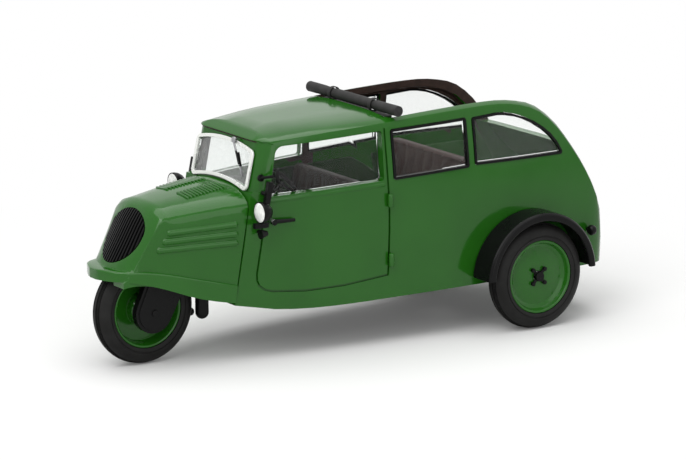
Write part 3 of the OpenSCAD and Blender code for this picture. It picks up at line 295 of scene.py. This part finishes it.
rubber = new_finish("tyre_rubber", (0.008, 0.0078, 0.0076), 0.55, Specular_IOR_Level=0.16)
mottle(rubber, noise(rubber, size=2.2 * MM, detail=4), "Base Color",
       low=(0.006, 0.0058, 0.0055), high=(0.0105, 0.0103, 0.01))
relief(rubber, noise(rubber, size=0.25 * MM), depth=0.01 * MM, strength=0.4)
print("finishes:", black.name, rubber.name)

# %% [markdown]
# ### Bright metal
# The screen frame is painted silver, so only a part of its look is metal, and the axles are bare
# steel. An uneven roughness keeps both from looking like mirrors.

# %% Silver and steel
silver = new_finish("screen_silver", (0.78, 0.79, 0.76), 0.22, Metallic=0.35)
mottle(silver, noise(silver, size=1.5 * MM), "Roughness", low=0.16, high=0.3)

steel = new_finish("axle_steel", (0.35, 0.35, 0.36), 0.3, Metallic=1.0)
mottle(steel, noise(steel, size=0.8 * MM), "Roughness", low=0.22, high=0.4)
print("finishes:", silver.name, steel.name)

# %% [markdown]
# ### Clear plastic
# The panes of a small model are thick blocks of clear plastic. A thick block bends the view behind
# it, so the side panes take a low index of refraction that bends it little. The windscreen keeps
# the index of real plastic, because it also mirrors the pale room. A pattern lets a little less
# light through in places, which is the haze and the dust on them.

# %% Clear finishes
CLEAR_COLOUR = (0.95, 0.97, 0.96)
CALM_INDEX = 1.16
PLASTIC_INDEX = 1.45


def clear_finish(name, index, size, detail, low, high):
    """Clear plastic whose pattern of haze keeps its clearness between the two values."""
    material = new_finish(name, CLEAR_COLOUR, 0.0, IOR=index, Transmission_Weight=1.0)
    mottle(material, noise(material, size, detail), "Transmission Weight", low, high)
    print("finish:", material.name)
    return material


pane = clear_finish("clear_pane", CALM_INDEX, size=0.5 * MM, detail=4, low=0.985, high=1.0)
dusty = clear_finish("dusty_pane", CALM_INDEX, size=0.4 * MM, detail=5, low=0.965, high=0.993)
screen = clear_finish("screen_pane", PLASTIC_INDEX, size=0.5 * MM, detail=4, low=0.9, high=0.96)

# %% [markdown]
# ### Lamp lenses
# A headlamp's lens is fluted glass over a mirror. On the model it is a pale moulded button, so the
# finish is pale and lets nothing through, and a wave pattern across the car gives the upright
# flutes. Blender's wave texture turns 20 times faster than its scale says, and one line allows for
# that.

# %% Fluted lens
FLUTE_PITCH = 0.32 * MM
WAVE_RATE = 20
lens = new_finish("lamp_lens", (0.75, 0.76, 0.74), 0.15, Specular_IOR_Level=0.4)
mottle(lens, noise(lens, size=0.7 * MM), "Base Color",
       low=(0.62, 0.63, 0.61), high=(0.8, 0.81, 0.79))

tree = lens.node_tree
place = tree.nodes.new("ShaderNodeTexCoord")
flutes = tree.nodes.new("ShaderNodeTexWave")
flutes.bands_direction = "Y"
flutes.inputs["Scale"].default_value = 2 * math.pi / (WAVE_RATE * FLUTE_PITCH)
tree.links.new(place.outputs["Object"], flutes.inputs["Vector"])
relief(lens, flutes.outputs["Fac"], depth=0.05 * MM, strength=0.6)
print("finish:", lens.name)

# %% [markdown]
# ### Inside and cover
# The seats are moulded in brown with a grain like leather, and the lining above the sills is a
# duller brown. The tub is green with painted shade and painted light along the car: darker in
# front, where the cabin roof shades it, and paler over the load floor, where light falls in through
# the open roof. So its colour runs along the car instead of in blotches. The roof cover is nearly
# black, with the grain of coarse cloth.

# %% Brown, inner green and cover
# Places along the car where the tub's painted shade and its painted light are full.
TUB_PAINTED_SHADE = -12 * MM
TUB_PAINTED_LIGHT = -22 * MM


def along(material, start, end):
    """A pattern that runs from 0 to 1 between two places along the car."""
    tree = material.node_tree
    place = tree.nodes.new("ShaderNodeTexCoord")
    parts = tree.nodes.new("ShaderNodeSeparateXYZ")
    reach = tree.nodes.new("ShaderNodeMapRange")
    reach.inputs["From Min"].default_value = start
    reach.inputs["From Max"].default_value = end
    tree.links.new(place.outputs["Object"], parts.inputs["Vector"])
    tree.links.new(parts.outputs["X"], reach.inputs["Value"])
    return reach.outputs["Result"]


brown = new_finish("seat_brown", (0.026, 0.0125, 0.01), 0.5, Specular_IOR_Level=0.25)
mottle(brown, noise(brown, size=1.6 * MM, detail=4), "Base Color",
       low=(0.021, 0.0095, 0.0078), high=(0.033, 0.0165, 0.0135))
relief(brown, noise(brown, size=0.35 * MM, detail=3), depth=0.02 * MM, strength=0.4)

lining = new_finish("lining_brown", (0.024, 0.0125, 0.009), 0.6, Specular_IOR_Level=0.2)
mottle(lining, noise(lining, size=1.2 * MM, detail=3), "Base Color",
       low=(0.019, 0.01, 0.007), high=(0.03, 0.016, 0.0115))

inside = new_finish("inside_green", (0.005, 0.03, 0.003), 0.5, Specular_IOR_Level=0.15)
# Painted shade under the cabin roof in front, painted light over the load floor behind.
mottle(inside, along(inside, TUB_PAINTED_SHADE, TUB_PAINTED_LIGHT), "Base Color",
       low=(0.005, 0.03, 0.003), high=(0.024, 0.09, 0.018))
mottle(inside, noise(inside, size=1.5 * MM, detail=3), "Roughness", low=0.4, high=0.6)

cover = new_finish("roof_cover", (0.018, 0.0175, 0.017), 0.7, Specular_IOR_Level=0.3)
mottle(cover, noise(cover, size=1.4 * MM, detail=4), "Base Color",
       low=(0.014, 0.0135, 0.013), high=(0.022, 0.0215, 0.021))
relief(cover, noise(cover, size=0.2 * MM, detail=3), depth=0.02 * MM, strength=0.5)
print("finishes:", brown.name, lining.name, inside.name, cover.name)

# %% [markdown]
# ## Finishes for the solids that stay
# Most solids already have the right shape. They keep their meshes and only change their material,
# by the slot that the record names for each of them. Two of them have a finish of their own.

# %% Paint the solids
FINISHES = {
    "paint_green": green, "satin_black": black, "roof_cover": cover, "screen_silver": silver,
    "clear_pane": pane, "lamp_lens": lens, "seat_brown": brown, "axle_steel": steel,
    "tyre_black": rubber,
}
OWN_FINISHES = {"interior_tub": inside, "windscreen_glass": screen}
for name, obj in nodes.items():
    obj.data.materials.clear()
    obj.data.materials.append(OWN_FINISHES.get(name, FINISHES[slot_of[name]]))
print("painted:", len(nodes))

# %% [markdown]
# ## The painted body
# The two body shells are built from many flat facets. A copy with its triangles joined can be
# shaded smooth across the facets while the window edges stay crisp. A narrow bevel rounds those
# edges, and weighted normals keep the large faces calm beside the small ones round the openings.


# %% Rounded edges
def round_edges(obj, width, edge_angle, shade_angle, segments=2):
    """Bevels the edges sharper than one angle, and shades round those flatter than the other."""
    apply_modifier(obj, "BEVEL", width=width, segments=segments, limit_method="ANGLE",
                   angle_limit=math.radians(edge_angle))
    smooth(obj, shade_angle)
    apply_modifier(obj, "WEIGHTED_NORMAL", keep_sharp=True)


# %% [markdown]
# The bonnet casting meets the cabin in a seam that leans back. A tongue along the casting's rear rim
# reaches across the seam, as a rebate does on a real casting, so no light shines through it. The
# nose turns softly into its sides, so its folds are shaded round up to a wider angle than others.

# %% The bonnet and its tongue
SHELL_EDGE = 0.14 * MM
NOSE_EDGE_ANGLE = 46
NOSE_SHADE_ANGLE = 52
SEAM_TOP = Vector((19.4, 0, 24.5)) * MM
SEAM_FOOT = Vector((22.1, 0, 8.8)) * MM
SEAM_REACH = 0.5 * MM
SEAM_FACING = 0.95
TONGUE_INSET = 0.3 * MM
TONGUE_REACH = 0.2 * MM


def on_seam(middle, normal):
    """True for the faces of the casting's rear rim."""
    upwards = (SEAM_TOP - SEAM_FOOT).normalized()
    forwards = Vector((upwards.z, 0, -upwards.x))
    off_seam = abs((middle - SEAM_FOOT).dot(forwards))
    return normal.dot(forwards) < -SEAM_FACING and off_seam < SEAM_REACH


bonnet = merged_copy("nose_shell")
edit_all(bonnet)
rim_faces = pick_faces(bonnet, on_seam)
bpy.ops.mesh.inset(thickness=TONGUE_INSET, depth=TONGUE_REACH)
leave_edit()
print("rim faces drawn out:", rim_faces)
round_edges(bonnet, SHELL_EDGE, NOSE_EDGE_ANGLE, NOSE_SHADE_ANGLE)
hand_over(bonnet, "bonnet_shell", "nose_shell", [green])

# %% [markdown]
# The roof ends in front with a thin lip over the screen. The solid's lip is a sturdy block, so the
# roof's skin comes down towards the front, more and more over the last part, and the lip's foot
# comes up to meet it. Points that come down by the same number of small steps move together.

# %% The cabin and its thin roof lip
CABIN_EDGE_ANGLE = 30
CABIN_SHADE_ANGLE = 40
ROOF_DROP = 0.35 * MM
DROP_STEP = 0.01 * MM
DROP_START = 6 * MM
SKIN_FACING = 0.15
LIP_BACK = 16.5 * MM
LIP_FRONT = 18 * MM
LIP_UNDERSIDE = 30.35 * MM
LIP_FOOT = 30.75 * MM
LIP_TOP = 31.5 * MM
LIP_RISE = 0.25 * MM


def on_lip_foot(point):
    """True for the points at the foot of the lip."""
    return point.co.x > LIP_BACK and LIP_UNDERSIDE < point.co.z < LIP_FOOT


def share(value, start, end):
    """0 at the start, 1 at the end, and eased in between."""
    part = min(max((value - start) / (end - start), 0), 1)
    return part * part * (3 - 2 * part)


def drop_steps(place, normal):
    """By how many steps a point of the roof's skin comes down."""
    if normal.z < SKIN_FACING:
        return 0
    drop = ROOF_DROP * share(place.x, DROP_START, LIP_FRONT) * share(place.z, LIP_FOOT, LIP_TOP)
    return round(drop / DROP_STEP)


cabin = merged_copy("cabin_shell")
edit_all(cabin)
mesh = bmesh.from_edit_mesh(cabin.data)
moves = {point.index: drop_steps(point.co, point.normal) for point in mesh.verts}
raised = pick(cabin, "VERT", on_lip_foot)
bpy.ops.transform.translate(value=(0, 0, LIP_RISE))
lowered = 0
for steps in sorted(set(moves.values()) - {0}):
    lowered += pick(cabin, "VERT", lambda point: moves[point.index] == steps)
    bpy.ops.transform.translate(value=(0, 0, -steps * DROP_STEP))
leave_edit()
print("lip points raised:", raised, "skin points lowered:", lowered)
round_edges(cabin, SHELL_EDGE, CABIN_EDGE_ANGLE, CABIN_SHADE_ANGLE)
hand_over(cabin, "cabin_body", "cabin_shell", [green, lining])

# %% [markdown]
# The cabin is lined in dark brown from the window sills up. A face belongs to the lining when it
# looks towards the middle of the car: the sides look inwards, the roof looks down. The lining is
# the shell's second finish, so it needs no mesh of its own.

# %% Line the upper cabin
BELT = 23.5 * MM
CEILING = BELT + 6.5 * MM
WALL_FACING = 0.55
CEILING_FACING = 0.6


def second_finish(piece, test):
    """Gives the piece's second finish to the faces that pass the test."""
    edit_all(piece)
    found = pick_faces(piece, test)
    piece.active_material_index = 1
    bpy.ops.object.material_slot_assign()
    leave_edit()
    print(piece.name, "faces in the second finish:", found)


def looks_inwards(middle, normal):
    """True for the inner faces of the upper walls and of the ceiling."""
    wall = normal.y * math.copysign(1, middle.y) < -WALL_FACING
    ceiling = normal.z < -CEILING_FACING and middle.z > CEILING
    return middle.z > BELT and (wall or ceiling)


second_finish(cabin, looks_inwards)

# %% [markdown]
# ## Softened edges
# Cast and moulded pieces have no knife edges: parting lines are filed and the lacquer pulls round
# each corner. That round is what catches the light as a thin bright line. A copy of each small
# solid gets a narrow bevel on its real edges, wider where the piece is larger. A piece that has a
# twin on the other side is listed once.

# %% Bevelled copies of the small solids
PIECE_EDGE_ANGLE = 38
PIECE_SHADE_ANGLE = 50
SIDES = ("_left", "_right")
EDGE_WIDTHS = {
    "mudguard": 0.16 * MM, "chain_case": 0.12 * MM, "fork_arm": 0.12 * MM,
    "trafficator": 0.14 * MM, "dashboard": 0.2 * MM, "base_plate": 0.12 * MM,
    "headlamp": 0.07 * MM, "horn": 0.08 * MM, "fork_crown": 0.12 * MM, "door_hinges": 0.14 * MM,
    "hub_spider": 0.07 * MM, "roof_flap": 0.06 * MM, "roll_straps": 0.08 * MM,
    "tail_lamp": 0.06 * MM, "front_rim": 0.07 * MM, "rear_rim": 0.07 * MM,
}
FRAME_EDGE = 0.22 * MM


def soften(node, width, finishes=None, segments=2):
    """Hands over a copy of a solid with its sharp edges rounded by a narrow bevel."""
    copy = merged_copy(node)
    round_edges(copy, width, PIECE_EDGE_ANGLE, PIECE_SHADE_ANGLE, segments)
    return hand_over(copy, node + "_rounded", node, finishes or [FINISHES[slot_of[node]]])


for kind, width in EDGE_WIDTHS.items():
    for node in [kind] if kind in nodes else [kind + side for side in SIDES]:
        soften(node, width)
soften("windscreen_frame", FRAME_EDGE, segments=3)

# %% [markdown]
# ## Two finishes on one piece
# Some pieces are one solid in two finishes, parted by place or by the way a face looks. The wiper
# is a bright arm with a rubber strip in its middle. Its faces are longer than the strip, so they
# are cut at the strip's ends first.

# %% The wiper's rubber strip
WIPER_EDGE = 0.04 * MM
STRIP_START = 0.35
STRIP_END = 0.74
low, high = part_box("wiper")
strip_top = high.z - STRIP_START * (high.z - low.z)
strip_foot = high.z - STRIP_END * (high.z - low.z)
wiper = soften("wiper", WIPER_EDGE, [steel, black])
for level in (strip_top, strip_foot):
    edit_all(wiper)
    bpy.ops.mesh.bisect(plane_co=(0, 0, level), plane_no=(0, 0, 1))
    leave_edit()
second_finish(wiper, lambda middle, normal: strip_foot < middle.z < strip_top)

# %% [markdown]
# The door mirror is a black disc with a silvered face that looks back along the car, and a door
# handle is a black grip on a bright stud. The way a face looks says which finish it has, and for
# the studs its place too.

# %% The mirror's face and the handles' studs
FINE_EDGE = 0.05 * MM
MIRROR_TURN = math.radians(30)
STUD_LENGTH = 0.5 * MM
SQUARELY = 0.9
mirror_way = Vector((-math.cos(MIRROR_TURN), math.sin(MIRROR_TURN), 0))
mirror = soften("door_mirror", FINE_EDGE, [black, silver])
second_finish(mirror, lambda middle, normal: normal.dot(mirror_way) > SQUARELY)

for side in SIDES:
    stud_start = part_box("door_handle" + side)[1].x - STUD_LENGTH
    handle = soften("door_handle" + side, FINE_EDGE, [black, steel])
    second_finish(handle, lambda middle, normal: middle.x > stud_start and abs(normal.y) < SQUARELY)

# %% [markdown]
# All the panes of one side come as one piece. The hindmost has gathered dust, so the faces behind
# its front edge take the dusty finish.

# %% The dusty hind panes
HIND_PANE = -15.1 * MM
PANE_SHADE_ANGLE = 30
for side in SIDES:
    node = "side_glass" + side
    glass = merged_copy(node)
    smooth(glass, PANE_SHADE_ANGLE)
    hand_over(glass, node + "_panes", node, [pane, dusty])
    second_finish(glass, lambda middle, normal: middle.x < HIND_PANE)

# %% [markdown]
# ## Tyres
# A tyre is moulded in a ring-shaped mould, so one section spun round the axle makes it. The section
# is a circle as wide as the tyre, cut off where it sits on the rim. The cut leaves the ring open
# towards the axle, and a bridge between its two open edges closes it.

# %% Spin the front tyre
SECTION_POINTS = 44
TREAD_STEPS = 120
RIM_GAP = 0.03 * MM
SPIN_WELD = 0.002 * MM
low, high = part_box("front_tyre")
hub = (low + high) / 2
tyre_radius = (high.z - low.z) / 2
half_width = (high.y - low.y) / 2
rim_low, rim_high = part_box("front_rim")
rim_seat = Vector((0, 0, (rim_high.z - rim_low.z) / 2 + RIM_GAP))

clear_selection()
bpy.ops.mesh.primitive_circle_add(
    vertices=SECTION_POINTS, radius=half_width, rotation=(0, math.pi / 2, 0),
    location=hub + Vector((0, 0, tyre_radius - half_width)),
)
tyre = settle(bpy.context.object)
edit_all(tyre)
bpy.ops.mesh.bisect(plane_co=hub + rim_seat, plane_no=(0, 0, 1), clear_inner=True)
bpy.ops.mesh.select_all(action="SELECT")
bpy.ops.mesh.spin(steps=TREAD_STEPS, angle=2 * math.pi, center=hub, axis=(0, 1, 0))
bpy.ops.mesh.select_all(action="SELECT")
bpy.ops.mesh.remove_doubles(threshold=SPIN_WELD)
bpy.ops.mesh.select_mode(type="EDGE")
bpy.ops.mesh.select_all(action="DESELECT")
bpy.ops.mesh.select_non_manifold()
bpy.ops.mesh.bridge_edge_loops()
bpy.ops.mesh.select_all(action="SELECT")
bpy.ops.mesh.normals_make_consistent(inside=False)
leave_edit()
print("section spun:", len(tyre.data.polygons), "faces")

# %% [markdown]
# Grooves run round the tread, a row of pits lies between each two, and a pressed line runs round
# each side wall. The faces of a band are picked by how far they lie from the axle and from the
# tyre's middle, and an inset with a depth presses them in: a band as a whole, the pits one by one.

# %% Press the tread
GROOVES = ((0.3 * MM, 0.5 * MM), (0.78 * MM, 0.95 * MM))
GROOVE_ZONE = 0.5 * MM
GROOVE_EDGE = 0.03 * MM
GROOVE_DEPTH = 0.16 * MM
PIT_ROW = (GROOVES[0][1], GROOVES[1][0])
PIT_ZONE = 0.4 * MM
PIT_EDGE = 0.06 * MM
PIT_DEPTH = 0.1 * MM
LINE_BAND = (5.9 * MM, 6.15 * MM)
LINE_FACING = 0.8
LINE_EDGE = 0.05 * MM
LINE_DEPTH = 0.1 * MM
TYRE_SHADE_ANGLE = 40


def from_axle(middle):
    """How far a face lies from the axle."""
    return math.hypot(middle.x - hub.x, middle.z - hub.z)


def in_tread(middle, zone):
    """True for a face in the tyre's outermost zone."""
    return from_axle(middle) > tyre_radius - zone


edit_all(tyre)
for near, far in GROOVES:
    for side in (-1, 1):
        pick_faces(tyre, lambda m, n: near < side * (m.y - hub.y) < far and in_tread(m, GROOVE_ZONE))
        bpy.ops.mesh.inset(thickness=GROOVE_EDGE, depth=-GROOVE_DEPTH, use_boundary=True)
near, far = PIT_ROW
pits = pick_faces(tyre, lambda m, n: near < abs(m.y - hub.y) < far and in_tread(m, PIT_ZONE))
bpy.ops.mesh.inset(thickness=PIT_EDGE, depth=-PIT_DEPTH, use_individual=True)
near, far = LINE_BAND
for side in (-1, 1):
    pick_faces(tyre, lambda m, n: near < from_axle(m) < far and side * n.y > LINE_FACING)
    bpy.ops.mesh.inset(thickness=LINE_EDGE, depth=-LINE_DEPTH, use_boundary=True)
leave_edit()
smooth(tyre, TYRE_SHADE_ANGLE)
print("tread pits:", pits)

# %% [markdown]
# The three tyres are the same, so each wheel gets a copy, which rides on that wheel's body. The
# tyre that they were copied from is then removed.

# %% One tyre on each wheel
for node in ("front_tyre", "rear_tyre_left", "rear_tyre_right"):
    low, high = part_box(node)
    take(tyre)
    bpy.ops.object.duplicate()
    copy = bpy.context.object
    bpy.ops.transform.translate(value=(low + high) / 2 - hub)
    hand_over(settle(copy), node + "_moulded", node, [rubber])
bpy.data.objects.remove(tyre)

# %% [markdown]
# ## The rolled roof
# The cloth roof is rolled up from the back and lies across the car, pulled in by two straps. It
# starts as a disc at the right end and is drawn out to the left ring by ring. Rings near a strap
# are made smaller, so the roll is pinched there.

# %% Draw out the roll
RING_POINTS = 28
ROLL_RINGS = 48
ROLL_CLEARANCE = 0.04 * MM
STRAP_HALF_WIDTH = 0.3 * MM
PINCH = 0.12
PINCH_REACH = 0.8 * MM
low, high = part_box("roof_roll")
roll_middle = (low + high) / 2
roll_radius = (high.z - low.z) / 2 - ROLL_CLEARANCE
strap_low, strap_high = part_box("roll_straps")
strap_places = (strap_low.y + STRAP_HALF_WIDTH, strap_high.y - STRAP_HALF_WIDTH)


def roll_size(y):
    """Share of the full radius at a place along the roll."""
    away = min(abs(y - place) for place in strap_places)
    return 1 - PINCH * math.exp(-((away / PINCH_REACH) ** 2))


clear_selection()
bpy.ops.mesh.primitive_circle_add(
    vertices=RING_POINTS, radius=roll_radius, rotation=(math.pi / 2, 0, 0),
    location=(roll_middle.x, low.y, roll_middle.z), fill_type="NGON",
)
roll = settle(bpy.context.object)
edit_all(roll)
ring_step = (high.y - low.y) / ROLL_RINGS
for ring in range(ROLL_RINGS):
    y = low.y + ring * ring_step
    bpy.ops.mesh.extrude_region_move(TRANSFORM_OT_translate={"value": (0, ring_step, 0)})
    ratio = roll_size(y + ring_step) / roll_size(y)
    bpy.ops.transform.resize(
        value=(ratio, 1, ratio), center_override=(roll_middle.x, y + ring_step, roll_middle.z)
    )
leave_edit()
print("rings drawn out:", ROLL_RINGS)

# %% [markdown]
# The ends show the layers of the roll: the middle of each end is inset again and again, pressed in
# and drawn out by turns. A little unevenness from a clouds texture then makes it cloth.

# %% Layers and unevenness
LAYER_WIDTH = 0.17 * MM
LAYER_DEPTHS = (-0.08 * MM, 0.07 * MM, -0.08 * MM)
END_REACH = 0.02 * MM
FOLD_SIZE = 1.6 * MM
FOLD_DEPTH = 0.07 * MM


def at_end(middle, normal):
    """True for the face in the middle of either end."""
    off_middle = math.hypot(middle.x - roll_middle.x, middle.z - roll_middle.z)
    return abs(normal.y) > SQUARELY and off_middle < END_REACH


edit_all(roll)
for depth in LAYER_DEPTHS:
    pick_faces(roll, at_end)
    bpy.ops.mesh.inset(thickness=LAYER_WIDTH, depth=depth)
bpy.ops.mesh.select_all(action="SELECT")
bpy.ops.mesh.normals_make_consistent(inside=False)
leave_edit()
folds = bpy.data.textures.new("cloth_folds", "CLOUDS")
folds.noise_scale = FOLD_SIZE
apply_modifier(roll, "DISPLACE", texture=folds, strength=FOLD_DEPTH)
smooth(roll, PIECE_SHADE_ANGLE)
hand_over(roll, "rolled_roof", "roof_roll", [cover])

# %% [markdown]
# ## Upholstery
# A bench is a cushion and a leaning back, each padded round and sewn in pleats. Both start as
# blocks measured from the solid. Their edges are rounded, cuts part the padding into pleats, and an
# inset raises each pleat a little.

# %% Blocks and pleats
PLEATS = 9
PADDING = 0.5 * MM
PADDING_STEPS = 4
PLEAT_EDGE = 0.2 * MM
PLEAT_RISE = 0.1 * MM


def block(low, high):
    """A box between two corners, with its place and size in its mesh."""
    clear_selection()
    bpy.ops.mesh.primitive_cube_add(size=1, location=(low + high) / 2, scale=high - low)
    return settle(bpy.context.object)


def padded_pleats(piece, test):
    """Rounds a block's edges, parts it into pleats and raises the faces that pass the test."""
    low, high = (f(v.co.y for v in piece.data.vertices) for f in (min, max))
    apply_modifier(piece, "BEVEL", width=PADDING, segments=PADDING_STEPS)
    for pleat in range(1, PLEATS):
        edit_all(piece)
        y = low + (high - low) * pleat / PLEATS
        bpy.ops.mesh.bisect(plane_co=(0, y, 0), plane_no=(0, 1, 0))
        leave_edit()
    edit_all(piece)
    raised = pick_faces(piece, test)
    bpy.ops.mesh.inset(thickness=PLEAT_EDGE, depth=PLEAT_RISE, use_individual=True)
    leave_edit()
    print("raised pleats:", raised)


# %% [markdown]
# The cushion's height is read from the solid's front. The back's foot lies a padding's depth below
# the seat, its top is narrowed and drawn backwards, and the two are joined into one bench.

# %% Pleated benches
SEAT_DEPTH = 7 * MM
FRONT_REACH = 0.1 * MM
CUSHION_FACING = 0.95
BACK_INSET = 0.4 * MM
BACK_FOOT = 3 * MM
BACK_TOP = 1.6 * MM
BACK_FACING = 0.8
BENCH_SHADE_ANGLE = 60


def cushion_top(node):
    """Height of the cushion: the top of the solid's front."""
    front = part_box(node)[1].x
    return max(v.co.z for v in nodes[node].data.vertices if abs(v.co.x - front) < FRONT_REACH)


def bench_cushion(low, high, seat):
    """The cushion, whose raised pleats reach the height of the seat."""
    top = Vector((high.x, high.y, seat - PLEAT_RISE))
    cushion = block(Vector((high.x - SEAT_DEPTH, low.y, low.z)), top)
    padded_pleats(cushion, lambda m, n: n.z > CUSHION_FACING)
    return cushion


def bench_back(low, high, seat):
    """The back, narrower at its top than at its foot."""
    foot = Vector((low.x + BACK_INSET, low.y, seat - PADDING))
    board = block(foot, Vector((foot.x + BACK_FOOT, high.y, high.z)))
    edit_all(board)
    pick_faces(board, lambda m, n: n.z > SQUARELY)
    bpy.ops.transform.resize(value=(BACK_TOP / BACK_FOOT, 1, 1))
    bpy.ops.transform.translate(value=(low.x + BACK_TOP / 2 - foot.x - BACK_FOOT / 2, 0, 0))
    leave_edit()
    padded_pleats(board, lambda m, n: n.x > BACK_FACING and m.z > seat)
    return board


def pleated_bench(node, name):
    """Joins a cushion and a back into the bench that stands for the solid."""
    low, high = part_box(node)
    seat = cushion_top(node)
    cushion = bench_cushion(low, high, seat)
    bench = bench_back(low, high, seat)
    take(bench)
    cushion.select_set(True)
    bpy.ops.object.join()
    smooth(bench, BENCH_SHADE_ANGLE)
    hand_over(bench, name, node, [brown])


pleated_bench("front_seat", "front_bench")
pleated_bench("rear_seat", "rear_bench")

# %% [markdown]
# ## Floor and light
# A plain pale floor takes the soft shadow. Far from the model it melts into the white room, which
# is done by letting the camera see plain white there. Near the model the camera still sees a small
# share of that white, which is painted light that makes the shadow paler.

# %% Floor
FLOOR_SIZE = 4
SHADOW_REACH = 52 * MM
WHITE_REACH = 95 * MM
# Share of plain white that the camera sees even close to the model: painted light that pales the
# shadow.
PAINTED_SHADOW_LIGHT = 0.06

clear_selection()
bpy.ops.mesh.primitive_plane_add(size=FLOOR_SIZE, location=(0, 0, 0))
floor = bpy.context.object
floor.name = "studio_floor"
paper = new_finish("floor_paper", (0.74, 0.74, 0.735), 0.9)
tree = paper.node_tree
place = tree.nodes.new("ShaderNodeTexCoord")
distance = tree.nodes.new("ShaderNodeVectorMath")
distance.operation = "LENGTH"
fade = tree.nodes.new("ShaderNodeMapRange")
fade.interpolation_type = "SMOOTHSTEP"
fade.inputs["From Min"].default_value = SHADOW_REACH
fade.inputs["From Max"].default_value = WHITE_REACH
fade.inputs["To Min"].default_value = PAINTED_SHADOW_LIGHT
rays = tree.nodes.new("ShaderNodeLightPath")
seen = tree.nodes.new("ShaderNodeMath")
seen.operation = "MULTIPLY"
white = tree.nodes.new("ShaderNodeEmission")
blend = tree.nodes.new("ShaderNodeMixShader")
tree.links.new(place.outputs["Object"], distance.inputs[0])
tree.links.new(distance.outputs["Value"], fade.inputs["Value"])
tree.links.new(fade.outputs["Result"], seen.inputs[0])
tree.links.new(rays.outputs["Is Camera Ray"], seen.inputs[1])
tree.links.new(seen.outputs["Value"], blend.inputs["Fac"])
tree.links.new(tree.nodes["Principled BSDF"].outputs["BSDF"], blend.inputs[1])
tree.links.new(white.outputs["Emission"], blend.inputs[2])
tree.links.new(blend.outputs["Shader"], tree.nodes["Material Output"].inputs["Surface"])
floor.data.materials.append(paper)
print("floor:", FLOOR_SIZE, "m")

# %% [markdown]
# The room lights the model from all sides, but only a little, so that the shadow on the floor
# stays. What the camera, the reflections and the clear panes see of the room is plain white.

# %% World
ROOM_LEVEL = 0.38
WHITE = (1, 1, 1, 1)
world = bpy.data.worlds.new("white_room")
bpy.context.scene.world = world
world.use_nodes = True
tree = world.node_tree
room = tree.nodes["Background"]
room.inputs["Color"].default_value = WHITE
room.inputs["Strength"].default_value = ROOM_LEVEL
plain_white = tree.nodes.new("ShaderNodeBackground")
plain_white.inputs["Color"].default_value = WHITE
rays = tree.nodes.new("ShaderNodeLightPath")
either = tree.nodes.new("ShaderNodeMath")
either.operation = "MAXIMUM"
any_of = tree.nodes.new("ShaderNodeMath")
any_of.operation = "MAXIMUM"
mix = tree.nodes.new("ShaderNodeMixShader")
tree.links.new(rays.outputs["Is Camera Ray"], either.inputs[0])
tree.links.new(rays.outputs["Is Glossy Ray"], either.inputs[1])
tree.links.new(either.outputs["Value"], any_of.inputs[0])
tree.links.new(rays.outputs["Is Transmission Ray"], any_of.inputs[1])
tree.links.new(any_of.outputs["Value"], mix.inputs["Fac"])
tree.links.new(room.outputs["Background"], mix.inputs[1])
tree.links.new(plain_white.outputs["Background"], mix.inputs[2])
tree.links.new(mix.outputs["Shader"], tree.nodes["World Output"].inputs["Surface"])
print("room level:", ROOM_LEVEL)

# %% [markdown]
# Three square lamps do the rest: one high in front of the car and a little to its left, a weaker
# one on its left side, and a broad one above. Their size keeps the edges of the shadows soft.


# %% Lamps
def soft_lamp(name, place, size, watts):
    """A square lamp that points at the middle of the model."""
    clear_selection()
    bpy.ops.object.light_add(type="AREA", location=place)
    lamp = bpy.context.object
    lamp.name = name
    lamp.data.size = size
    lamp.data.energy = watts
    lamp.rotation_mode = "QUATERNION"
    lamp.rotation_quaternion = (Vector(place) - CAMERA_TARGET).to_track_quat("Z", "Y")
    print(name, "watts:", watts)


soft_lamp("front_lamp", place=(0.55, 0.25, 0.55), size=0.5, watts=2.6)
soft_lamp("left_lamp", place=(0.1, 0.6, 0.2), size=0.5, watts=0.95)
soft_lamp("top_lamp", place=(0.05, 0.0, 0.8), size=1.0, watts=7.0)

# %% [markdown]
# ## The picture
# The Standard view keeps colours as they are set.

# %% Picture settings
bpy.context.scene.view_settings.view_transform = "Standard"
